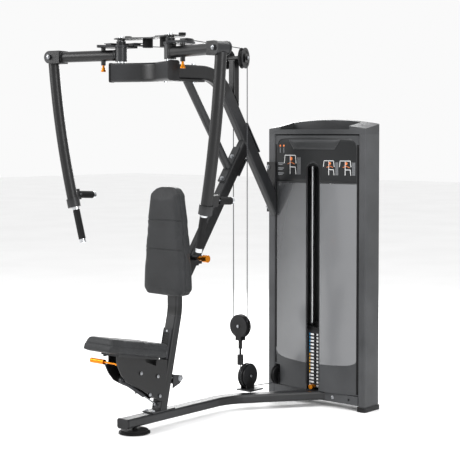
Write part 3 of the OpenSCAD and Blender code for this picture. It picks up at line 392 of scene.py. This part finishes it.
# %% Piece helpers
def make_piece(name, bm, finish, body):
    bmesh.ops.recalc_face_normals(bm, faces=bm.faces)
    mesh = bpy.data.meshes.new(name)
    bm.to_mesh(mesh)
    bm.free()
    mesh.materials.append(finish)
    piece = bpy.data.objects.new(name, mesh)
    scene.collection.objects.link(piece)
    for face in mesh.polygons:
        face.use_smooth = True
    piece.modifiers.new("crisp_edges", "EDGE_SPLIT").split_angle = math.radians(40)
    if body:
        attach(piece, body)
    return piece


def lathe(bm, profile, turn, steps=32):
    # profile: (radius, height) pairs from one open end of the axis to the other
    rings = []
    for radius, height in profile:
        rings.append([bm.verts.new(turn @ Vector((radius * math.cos(2 * math.pi * k / steps),
                                                  radius * math.sin(2 * math.pi * k / steps),
                                                  height))) for k in range(steps)])
    for low, high in zip(rings, rings[1:]):
        for k in range(steps):
            n = (k + 1) % steps
            bm.faces.new((low[k], low[n], high[n], high[k]))
    bm.faces.new(rings[0])
    bm.faces.new(reversed(rings[-1]))


def rounded_box(bm, size, turn, radius):
    made = bmesh.ops.create_cube(bm, size=1.0)["verts"]
    bmesh.ops.scale(bm, vec=size, verts=made)
    edges = list({e for v in made for e in v.link_edges})
    cut = bmesh.ops.bevel(bm, geom=edges, offset=radius, segments=2, affect="EDGES")
    corners = {v for f in cut["faces"] for v in f.verts}
    bmesh.ops.transform(bm, matrix=turn, verts=list(corners))


# %% [markdown]
# A pad is a plywood board with foam on it and vinyl pulled tight round both. The
# foam pushes out, so the faces crown and the edges pull in. The plain solid of the
# pad is remeshed into an even skin, a cloth simulation with air pressure inside
# swells it, and the amount that a point may move is capped so the size stays true.


# %% Swell a pad
def swell(piece, reach):
    before = [v.co.copy() for v in piece.data.vertices]
    cloth = piece.modifiers.new("cloth", "CLOTH")
    cloth.settings.use_pressure = True
    cloth.settings.uniform_pressure_force = 4.0
    cloth.settings.quality = 6
    cloth.settings.tension_stiffness = 40.0
    cloth.settings.compression_stiffness = 40.0
    cloth.settings.shear_stiffness = 20.0
    cloth.settings.bending_stiffness = 30.0
    cloth.settings.shrink_min = -0.01
    cloth.settings.effector_weights.gravity = 0.0
    for step in range(1, 21):
        scene.frame_set(step)
    graph = bpy.context.evaluated_depsgraph_get()
    swollen = bpy.data.meshes.new_from_object(piece.evaluated_get(graph))
    for vertex, start in zip(swollen.vertices, before):
        move = vertex.co - start
        if move.length > reach:
            vertex.co = start + move * (reach / move.length)
    piece.modifiers.remove(cloth)
    piece.data = swollen
    settle = piece.modifiers.new("settle", "SMOOTH")
    settle.iterations = 12
    bake_modifier(piece)
    scene.frame_set(1)
    return piece


def bake_modifier(piece):
    graph = bpy.context.evaluated_depsgraph_get()
    piece.data = bpy.data.meshes.new_from_object(piece.evaluated_get(graph))
    piece.modifiers.clear()


def soft_pad(name, node, voxel, inset, reach, edge_radius):
    low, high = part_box(node)
    centre = (low + high) / 2
    half = (high - low) / 2
    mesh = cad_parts[node].data.copy()
    for vertex in mesh.vertices:
        offset = vertex.co - centre
        for axis in range(3):
            offset[axis] *= (half[axis] - inset) / half[axis]
        vertex.co = centre + offset
    pad = bpy.data.objects.new(name, mesh)
    scene.collection.objects.link(pad)
    weld = pad.modifiers.new("weld", "WELD")
    weld.merge_threshold = 0.0002
    bevel = pad.modifiers.new("bevel", "BEVEL")
    bevel.width = edge_radius
    bevel.segments = 4
    bevel.limit_method = "ANGLE"
    skin = pad.modifiers.new("skin", "REMESH")
    skin.mode = "VOXEL"
    skin.voxel_size = voxel
    ease = pad.modifiers.new("ease", "SMOOTH")
    ease.iterations = 6
    bake_modifier(pad)
    swell(pad, reach)
    smooth = pad.modifiers.new("smooth", "SUBSURF")
    smooth.levels = smooth.render_levels = 1
    bake_modifier(pad)
    for face in pad.data.polygons:
        face.use_smooth = True
    pad.data.materials.clear()
    pad.data.materials.append(vinyl)
    print(name, "has", len(pad.data.vertices), "points")
    return pad


# %% [markdown]
# Seams come after the swelling. A seam pulls the skin into a narrow valley, and on
# the back pad a row of stitches runs on each side of it. The valley is a smooth dip
# of a few millimetres, and the stitches are small capsules set on the surface by
# casting rays at it.


# %% Seams and stitches
def press_seam(pad, distance, depth, width):
    normals = [n.vector.copy() for n in pad.data.vertex_normals]
    for vertex, normal in zip(pad.data.vertices, normals):
        away = distance(vertex.co, normal)
        vertex.co -= normal * depth * math.exp(-(away / width) ** 2)


def stitch_rows(name, pad, rays, body):
    surface = BVHTree.FromPolygons([v.co for v in pad.data.vertices],
                                   [p.vertices for p in pad.data.polygons])
    bm = bmesh.new()
    made = 0
    for start, aim, along in rays:
        hit, normal, _, _ = surface.ray_cast(Vector(start), Vector(aim))
        if hit is None:
            continue
        side = normal.cross(Vector(along)).normalized()
        run = side.cross(normal).normalized()
        turn = Matrix((side, normal, run)).transposed().to_4x4()
        turn.translation = hit + normal * 0.0001
        lathe(bm, [(0.0003, -0.0021), (0.0006, -0.0017), (0.0006, 0.0017), (0.0003, 0.0021)],
              turn, steps=6)
        made += 1
    print(name, "has", made, "stitches")
    return make_piece(name, bm, thread, body)


# %% [markdown]
# The back pad is a tall tapered cushion. Two seams cross its front, one above and
# one below the shoulder blades, and one runs round its side.

# %% Back pad
back_low, back_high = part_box("back_pad")
back_cushion = soft_pad("back_cushion", "back_pad", 0.005, 0.001, 0.008, 0.013)
BACK_SEAMS = (back_low.z + 0.384, back_low.z + 0.234)
side_seam_y = back_low.y + 0.024


def back_seam_distance(co, normal):
    front = min(abs(co.z - z) for z in BACK_SEAMS) if normal.y < -0.35 else 1.0
    side = abs(co.y - side_seam_y) if abs(normal.y) < 0.75 else 1.0
    return min(front, side)


press_seam(back_cushion, back_seam_distance, 0.0045, 0.0028)
rays = []
for z in BACK_SEAMS:
    for row in (-0.0055, 0.0055):
        for k in range(-17, 18):
            rays.append(((k * 0.0065, back_low.y - 0.1, z + row), (0, 1, 0), (1, 0, 0)))
stitch_rows("back_cushion_stitches", back_cushion, rays, "back")
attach(back_cushion, "back")
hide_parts("back_pad")

# %% [markdown]
# The seat is narrower at the front, so the thighs clear it, and it slopes down to
# the rear. One seam runs round the side, below the crowned top. It is a plain closed
# seam with no top stitching.

# %% Seat cushion
seat_low, seat_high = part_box("seat_pad")
seat_cushion = soft_pad("seat_cushion", "seat_pad", 0.005, 0.001, 0.004, 0.009)
SEAT_SLOPE = math.tan(math.radians(10.65))
seat_front = Vector((0.0, -0.256, 0.4435))


def height_on_seat(co):
    rise = co.z - seat_front.z + (co.y - seat_front.y) * SEAT_SLOPE
    return rise * math.cos(math.atan(SEAT_SLOPE))


def seat_seam_distance(co, normal):
    return abs(height_on_seat(co) - 0.036) if abs(normal.z) < 0.8 else 1.0


press_seam(seat_cushion, seat_seam_distance, 0.003, 0.0032)
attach(seat_cushion, "seat")
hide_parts("seat_pad")

# %% [markdown]
# Flat trim on the tower has to follow the bulge of the panels. A ray cast from the
# front finds the panel's surface, so a patch is laid on a grid of such points and
# given a thickness of half a millimetre.


# %% Patches that follow the tower front
def skin_of(*names):
    points, faces = [], []
    for name in names:
        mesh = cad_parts[name].data
        faces += [[i + len(points) for i in p.vertices] for p in mesh.polygons]
        points += [v.co.copy() for v in mesh.vertices]
    return BVHTree.FromPolygons(points, faces)


tower_front = skin_of("placard_panel", "smoked_panel", "lower_panel")
FILM = 0.0006


def on_front(x, z, lift=FILM):
    hit, _, _, _ = tower_front.ray_cast(Vector((x, 0.9, z)), Vector((0, 1, 0)))
    return None if hit is None else Vector((x, hit.y - lift, z))


def front_patch(bm, left, right, low_at, high_at, columns, rows=6, lift=FILM):
    # low_at and high_at give the lower and upper edge at each x
    grid = []
    for i in range(columns + 1):
        x = left + (right - left) * i / columns
        low, high = low_at(x), high_at(x)
        column = [on_front(x, low + (high - low) * j / rows, lift) for j in range(rows + 1)]
        grid.append([bm.verts.new(co) if co else None for co in column])
    for a, b in zip(grid, grid[1:]):
        for j in range(rows):
            corners = (a[j], b[j], b[j + 1], a[j + 1])
            if all(corners):
                bm.faces.new(corners)


def thicken(piece, amount):
    solid = piece.modifiers.new("thickness", "SOLIDIFY")
    solid.thickness = amount
    solid.offset = 1.0
    return piece


# %% [markdown]
# The placard is a dark printed film with rounded top corners and a raised title
# band, both without words. Its pictures are plain figures: the outline of a machine
# with a seated figure made of discs and bars.

# %% Placard film
placard_low, placard_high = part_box("placard_panel")
tower_middle = (placard_low.x + placard_high.x) / 2
FILM_HALF = (placard_high.x - placard_low.x) / 2 - 0.016
FILM_TOP = placard_high.z - 0.012
CORNER = 0.045
SLOT_HALF = 0.047
SLOT_TOP = 1.335


def film_top(x):
    from_edge = FILM_HALF - abs(x - tower_middle)
    arch = -0.008 * ((x - tower_middle) / FILM_HALF) ** 2
    inside = max(CORNER - from_edge, 0.0)
    dip = CORNER - math.sqrt(max(CORNER ** 2 - inside ** 2, 0))
    return FILM_TOP + arch - dip


def film_low(x):
    reach = abs(x - tower_middle)
    if reach >= SLOT_HALF:
        return placard_low.z + 0.004
    return SLOT_TOP - SLOT_HALF + math.sqrt(max(SLOT_HALF ** 2 - reach ** 2, 0)) + 0.008


bm = bmesh.new()
front_patch(bm, tower_middle - FILM_HALF, tower_middle + FILM_HALF, film_low, film_top, 150, 12)
placard_sheet = thicken(make_piece("placard_film_sheet", bm, placard_film, "frame"), 0.0005)
bm = bmesh.new()
BAND_HALF, BAND_HIGH = 0.175, 0.052


def band_low(x):
    slope = max(abs(x - tower_middle) - (BAND_HALF - 0.035), 0) * 1.45
    return FILM_TOP - 0.012 - BAND_HIGH + slope


front_patch(bm, tower_middle - BAND_HALF, tower_middle + BAND_HALF, band_low,
            lambda x: FILM_TOP - 0.011, 40, 3, lift=0.0022)
thicken(make_piece("placard_title_band", bm, panel_abs, "frame"), 0.001)


# %% Plain figures on the placard
def front_bar(bm, start, end, width, lift=0.0016):
    (x0, z0), (x1, z1) = start, end
    run = Vector((x1 - x0, z1 - z0))
    side = Vector((-run.y, run.x)).normalized() * width / 2
    steps = max(2, int(run.length / 0.006))
    previous = None
    for k in range(steps + 1):
        x, z = x0 + run.x * k / steps, z0 + run.y * k / steps
        pair = [on_front(x + side.x * s, z + side.y * s, lift) for s in (-1, 1)]
        if None in pair:
            previous = None
            continue
        verts = [bm.verts.new(co) for co in pair]
        if previous:
            bm.faces.new((previous[0], previous[1], verts[1], verts[0]))
        previous = verts


def front_disc(bm, x, z, radius, lift=0.0016, steps=20):
    ring = [bm.verts.new(on_front(x + radius * math.cos(2 * math.pi * k / steps),
                                  z + radius * math.sin(2 * math.pi * k / steps), lift))
            for k in range(steps)]
    bm.faces.new(ring)


white_marks, orange_marks, grey_marks = bmesh.new(), bmesh.new(), bmesh.new()
FIGURES = ((tower_middle - 0.165, 1.35), (tower_middle + 0.105, 1.0), (tower_middle + 0.205, 1.0))
for x, size in FIGURES:
    base = placard_low.z + 0.045
    for a, b in (((0.0, 0.0), (0.0, 0.075)), ((0.0, 0.03), (0.03, 0.03)),
                 ((0.03, 0.03), (0.033, 0.0)), ((-0.03, 0.078), (0.03, 0.078)),
                 ((-0.03, 0.078), (-0.034, 0.045)), ((0.03, 0.078), (0.034, 0.045))):
        front_bar(white_marks, (x + a[0] * size, base + a[1] * size),
                  (x + b[0] * size, base + b[1] * size), 0.003)
    front_disc(orange_marks, x + 0.006 * size, base + 0.064 * size, 0.0075 * size)
    for side in (-1, 1):
        front_bar(orange_marks, (x + 0.006 * size, base + 0.05 * size),
                  (x + (0.006 + side * 0.02) * size, base + 0.042 * size), 0.0028)
    for k in range(3):
        front_bar(grey_marks, (x + (0.044 + k * 0.006) * size, base),
                  (x + (0.044 + k * 0.006) * size, base + 0.07 * size), 0.0022)
for k in range(3):
    z = placard_low.z + 0.05 + k * 0.028
    front_bar(grey_marks, (tower_middle - 0.262, z), (tower_middle - 0.215, z), 0.003)
    front_bar(grey_marks, (tower_middle - 0.262, z - 0.008),
              (tower_middle - 0.225, z - 0.008), 0.0022)
for x in (tower_middle - 0.245, tower_middle - 0.215):
    front_disc(orange_marks, x, FILM_TOP - 0.045, 0.006)
    front_bar(grey_marks, (x, FILM_TOP - 0.055), (x, FILM_TOP - 0.085), 0.0026)
make_piece("placard_white_marks", white_marks, white_ink, "frame")
make_piece("placard_orange_marks", orange_marks, orange_ink, "frame")
make_piece("placard_grey_marks", grey_marks, grey_ink, "frame")

# %% [markdown]
# Dark strips laid along the gaps between the bulged panels and the posts are painted
# shade, where the panels step back from the posts. A moulded rim edges the slot, so that a hand
# that moves the pin meets no sharp plastic.

# %% Painted shade strips in the gaps, and slot rim
# painted shade: dark strips down the gaps beside the posts
bm = bmesh.new()
for left, right in ((placard_low.x + 0.001, placard_low.x + 0.012),
                    (placard_high.x - 0.014, placard_high.x - 0.001)):
    front_patch(bm, left, right, lambda x: 0.09, lambda x: placard_high.z - 0.05, 2, 60,
                lift=0.0008)
thicken(make_piece("painted_shade_gap_strips", bm, black_rubber, "frame"), 0.0008)

SLOT_LOW = 0.115
RIM_HALF = 0.0435
RIM_STEPS = 60
ROUND_STEPS = 24
round_z = SLOT_TOP - RIM_HALF
slot_points = []
for k in range(RIM_STEPS):
    z = SLOT_LOW + (round_z - SLOT_LOW) * k / RIM_STEPS
    slot_points.append((tower_middle - RIM_HALF, z))
for k in range(ROUND_STEPS + 1):
    a = math.pi - math.pi * k / ROUND_STEPS
    slot_points.append((tower_middle + RIM_HALF * math.cos(a), round_z + RIM_HALF * math.sin(a)))
for k in range(RIM_STEPS):
    z = round_z - (round_z - SLOT_LOW) * k / RIM_STEPS
    slot_points.append((tower_middle + RIM_HALF, z))
rim = bpy.data.curves.new("slot_rim", "CURVE")
rim.dimensions = "3D"
rim.bevel_depth = 0.0028
rim.bevel_resolution = 3
spline = rim.splines.new("POLY")
route = [on_front(x, z, 0.0) for x, z in slot_points]
route = [co for co in route if co]
spline.points.add(len(route) - 1)
for point, co in zip(spline.points, route):
    point.co = (*co, 1.0)
rim_piece = bpy.data.objects.new("slot_rim", rim)
scene.collection.objects.link(rim_piece)
rim.materials.append(black_nylon)
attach(rim_piece, "frame")
print("slot rim follows", len(route), "points")

# %% [markdown]
# Each weight plate has a white label on both sides of its pin hole and a coloured
# tab. The right label carries a plain round number, made as flat text and turned
# into mesh.

# %% Stack labels
stack_low, stack_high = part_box("weight_plates")
PLATES = 16
PITCH = 0.0189
PLATE_FACE = stack_low.y - 0.0004
labels, tabs_blue, tabs_yellow, tabs_white = bmesh.new(), bmesh.new(), bmesh.new(), bmesh.new()
for k in range(PLATES):
    z = stack_low.z + (k + 0.5) * PITCH - 0.0003
    for side in (-1, 1):
        rounded_box(labels, (0.022, 0.0008, 0.0095),
                    Matrix.Translation((tower_middle + side * 0.0205, PLATE_FACE, z)), 0.0003)
    tabs = tabs_blue if k >= 10 else tabs_yellow if k >= 4 else tabs_white
    rounded_box(tabs, (0.007, 0.0009, 0.012),
                Matrix.Translation((tower_middle - 0.0365, PLATE_FACE, z)), 0.0003)
make_piece("stack_labels", labels, white_ink, "stack")
make_piece("stack_tabs_upper", tabs_blue, blue_ink, "stack")
make_piece("stack_tabs_middle", tabs_yellow, yellow_ink, "stack")
make_piece("stack_tabs_lower", tabs_white, white_ink, "stack")
numbers = bmesh.new()
for k in range(PLATES):
    text = bpy.data.curves.new("plate_number", "FONT")
    text.body = str(5 * (PLATES - k))
    text.size = 0.009
    text.align_x = "CENTER"
    text.align_y = "CENTER"
    text.extrude = 0.0001
    holder = bpy.data.objects.new("plate_number", text)
    scene.collection.objects.link(holder)
    bpy.context.view_layer.update()
    graph = bpy.context.evaluated_depsgraph_get()
    cut = bpy.data.meshes.new_from_object(holder.evaluated_get(graph))
    bpy.data.objects.remove(holder)
    z = stack_low.z + (k + 0.5) * PITCH - 0.0003
    cut.transform(Matrix.Translation((tower_middle + 0.0205, PLATE_FACE - 0.0006, z))
                  @ Matrix.Rotation(math.radians(90), 4, "X"))
    numbers.from_mesh(cut)
make_piece("stack_numbers", numbers, black_rubber, "stack")

# %% [markdown]
# The grips are chrome bars with ribbed rubber sleeves, moulded over them. Each
# sleeve is lathed from a profile whose ribs repeat every 5 mm, and it takes its
# place and direction from the middle of the CAD grip it covers.

# %% Grip sleeves
ARM_SWEEP = math.radians(12.6)
SLEEVE_R = 0.0188


def sleeve_profile(length):
    profile = [(0.0155, 0.0), (SLEEVE_R, 0.002)]
    ribs = int((length - 0.008) / 0.005)
    for k in range(ribs):
        z = 0.004 + k * 0.005
        profile += [(SLEEVE_R, z), (SLEEVE_R - 0.0009, z + 0.0012), (SLEEVE_R - 0.0009, z + 0.0026),
                    (SLEEVE_R, z + 0.0038)]
    return profile + [(SLEEVE_R, length - 0.002), (0.0155, length)]


def islands(node):
    bm = bmesh.new()
    bm.from_mesh(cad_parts[node].data)
    bmesh.ops.remove_doubles(bm, verts=bm.verts, dist=1e-5)
    left, groups = set(bm.verts), []
    while left:
        queue, found = [left.pop()], []
        while queue:
            v = queue.pop()
            found.append(v.co.copy())
            for e in v.link_edges:
                o = e.other_vert(v)
                if o in left:
                    left.discard(o)
                    queue.append(o)
        groups.append(found)
    bm.free()
    return groups


def main_axis(points):
    middle = sum(points, Vector()) / len(points)
    direction = Vector((0.3, 0.4, 0.8)).normalized()
    for _ in range(30):
        direction = sum(((p - middle) * (p - middle).dot(direction) for p in points), Vector())
        direction.normalize()
    reach = [(p - middle).dot(direction) for p in points]
    ends = []
    for limit in (min(reach), max(reach)):
        ring = [p for p, at in zip(points, reach) if abs(at - limit) < 0.0006]
        ends.append(sum(ring, Vector()) / len(ring))
    direction = (ends[1] - ends[0]).normalized()
    return ends[0], direction, (ends[1] - ends[0]).length


for side in ("left", "right"):
    for points in islands("grips_" + side):
        if len(points) < 60:
            continue
        end, direction, reach = main_axis(points)
        rear = abs(direction.y) > 0.8
        if (rear and direction.y < 0) or (not rear and direction.z > 0):
            end, direction = end + direction * reach, -direction
        start, length = (0.006, 0.091) if rear else (0.052, 0.158)
        turn = direction.to_track_quat("Z", "Y").to_matrix().to_4x4()
        turn.translation = end + direction * start
        bm = bmesh.new()
        lathe(bm, sleeve_profile(length), turn)
        name = "grip_sleeve_" + side + ("_rear" if rear else "_front")
        make_piece(name, bm, black_rubber, "arm_" + side + "_lower")
        print(name, "from", tuple(round(v, 3) for v in turn.translation), "length", length)

# %% [markdown]
# A weld bead runs round each tube where it meets its neighbour. A bead is a chain of
# overlapping drops, so it is swept as a thin tube whose radius pulses.


# %% Weld beads
def weld_bead(bm, centre, normal, radius, count=64, size=0.0022):
    frame_turn = Vector(normal).to_track_quat("Z", "Y").to_matrix()
    rings = []
    for k in range(count):
        a = 2 * math.pi * k / count
        out = frame_turn @ Vector((math.cos(a), math.sin(a), 0))
        up = frame_turn @ Vector((0, 0, 1))
        pulse = size * (1.0 + 0.22 * math.sin(a * count / 4))
        spot = Vector(centre) + out * radius
        rings.append([bm.verts.new(spot + out * pulse * math.cos(b) + up * pulse * math.sin(b))
                      for b in [2 * math.pi * j / 6 for j in range(6)]])
    for a, b in zip(rings, rings[1:] + rings[:1]):
        for j in range(6):
            n = (j + 1) % 6
            bm.faces.new((a[j], a[n], b[n], b[j]))


for side, sign in (("left", -1), ("right", 1)):
    pivot = Vector((sign * 0.171, 0.084, 0))
    along = Vector((sign * math.cos(ARM_SWEEP), -math.sin(ARM_SWEEP), 0))
    bm = bmesh.new()
    weld_bead(bm, pivot + along * 0.031 + Vector((0, 0, 1.894)), along, 0.0282)
    weld_bead(bm, pivot + along * 0.3585 + Vector((0, 0, 1.894)), along, 0.0282)
    weld_bead(bm, pivot + along * 0.108 + Vector((0, 0, 1.8665)), (0, 0, 1), 0.0125, 32, 0.0016)
    make_piece("arm_welds_" + side, bm, powder_coat, "arm_" + side + "_upper")

# %% [markdown]
# Bright zinc fasteners show on the seat carriage, the elbows, the pulleys and the
# lower crossmember. Each is a washer, a hexagon and a small dome, all turned from one
# profile, with the hexagon made by using six steps in place of a round.


# %% Zinc fasteners
def bolt(bm, place, outward, radius):
    turn = Vector(outward).to_track_quat("Z", "Y").to_matrix().to_4x4()
    turn.translation = Vector(place)
    lathe(bm, [(radius * 1.3, 0.0), (radius * 1.3, radius * 0.22), (radius * 1.2, radius * 0.28)],
          turn, steps=28)
    lathe(bm, [(radius, radius * 0.27), (radius, radius * 0.62), (radius * 0.86, radius * 0.72)],
          turn, steps=6)
    lathe(bm, [(radius * 0.5, radius * 0.7), (radius * 0.42, radius * 0.86)], turn, steps=16)


def fasteners(name, spots, body):
    # spots: (place, outward direction, radius) of each head, in metres
    bm = bmesh.new()
    for place, outward, radius in spots:
        bolt(bm, place, outward, radius)
    make_piece(name, bm, zinc, body)
    print(name, "has", len(spots), "heads")


carriage_spots = []
for y, z in ((-0.002, 0.306), (0.060, 0.189), (0.118, 0.273), (0.132, 0.171)):
    carriage_spots += [((0.052, y, z), (1, 0, 0), 0.0068), ((-0.048, y, z), (-1, 0, 0), 0.0068)]
carriage_spots.append(((0.0345, 0.300, 0.236), (1, 0, 0), 0.0125))
fasteners("carriage_bolts", carriage_spots, "seat")
for side, sign in (("left", -1), ("right", 1)):
    along = Vector((sign * math.cos(ARM_SWEEP), -math.sin(ARM_SWEEP), 0))
    across = Vector((math.sin(ARM_SWEEP) * sign, math.cos(ARM_SWEEP), 0))
    elbow = Vector((sign * 0.171, 0.084, 1.894)) + along * 0.420
    fasteners("elbow_bolts_" + side,
              [(elbow + across * 0.049 * end, across * end, 0.0085) for end in (-1, 1)],
              "arm_" + side + "_upper")
fasteners("floating_pulley_bolts",
          [((0, 0.822 + 0.022 * end, 0.442), (0, end, 0), 0.0062) for end in (-1, 1)],
          "float_frame")
turn = math.radians(17.8)
pulley_spots = [((0.026 * end, 0.884, 0.160), (end, 0, 0), 0.0062) for end in (-1, 1)]
for sign in (-1, 1):
    axle = Vector((math.cos(turn) * sign, math.sin(turn), 0))
    pulley_spots.append((Vector((sign * 0.0647, 0.7725, 1.902)) + axle * 0.025, axle, 0.0075))
pulley_spots.append(((0.409, 1.118, 0.056), (0, -1, 0), 0.0075))
fasteners("frame_pulley_bolts", pulley_spots, "frame")

# %% [markdown]
# The cables change as the arms swing. The floating pulley and the stack rise, so the
# runs that end on them shorten, and the run below the floating pulley grows. Here the
# stack cable is cut on a straight stretch into runs and each arm cable is kept whole.
# A run on the frame is attached to it, and the other runs stay fixed where they lie.


# %% Cable runs cut from the CAD cables
def middle_of(node):
    low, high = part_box(node)
    return (low + high) / 2


def cable_run(name, node, cuts, body):
    # cuts: (point, normal) of planes, and the side behind each normal is kept
    bm = bmesh.new()
    bm.from_mesh(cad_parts[node].data)
    bmesh.ops.remove_doubles(bm, verts=bm.verts, dist=1e-6)
    for point, normal in cuts:
        cut = bmesh.ops.bisect_plane(bm, geom=bm.verts[:] + bm.edges[:] + bm.faces[:], dist=1e-7,
                                     plane_co=point, plane_no=normal, clear_outer=True)
        rim = [e for e in cut["geom_cut"] if isinstance(e, bmesh.types.BMEdge)]
        bmesh.ops.holes_fill(bm, edges=rim)
    piece = make_piece(name, bm, cable_strand, None)
    bake_modifier(piece)
    if body == "frame":
        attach(piece, body)
    else:
        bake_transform(piece)
    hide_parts(node)
    print(name, "has", len(piece.data.vertices), "points")


beam_wheel = middle_of("beam_pulley")
tower_wheel = middle_of("tower_pulley")
stack_wheel = middle_of("top_pulley_right")
between = (beam_wheel + tower_wheel) / 2
for side in ("left", "right"):
    cable_run("arm_cable_run_" + side, "arm_cable_" + side, [], "float_frame")
cable_run("stack_cable_drop", "stack_cable", [(between, (0, 1, 0))], "float_frame")
cable_run("stack_cable_riser", "stack_cable",
          [(between, (0, -1, 0)), (stack_wheel - Vector((0.06, 0, 0)), (1, 0, 0))], "frame")
cable_run("stack_cable_lift", "stack_cable",
          [(between, (0, -1, 0)), (stack_wheel - Vector((0.06, 0, 0)), (-1, 0, 0))], "stack")

# %% [markdown]
# The floor comes last of the large shapes and isn't part of the machine.

# %% Floor
floor_paint = grained_finish("pale_floor", ("#f4f4f4", "#f8f8f8"), 900, 4.0, 0.02, (0.5, 0.6))
bm = bmesh.new()
bmesh.ops.create_grid(bm, x_segments=8, y_segments=8, size=30.0)
floor = make_piece("studio_floor", bm, floor_paint, None)
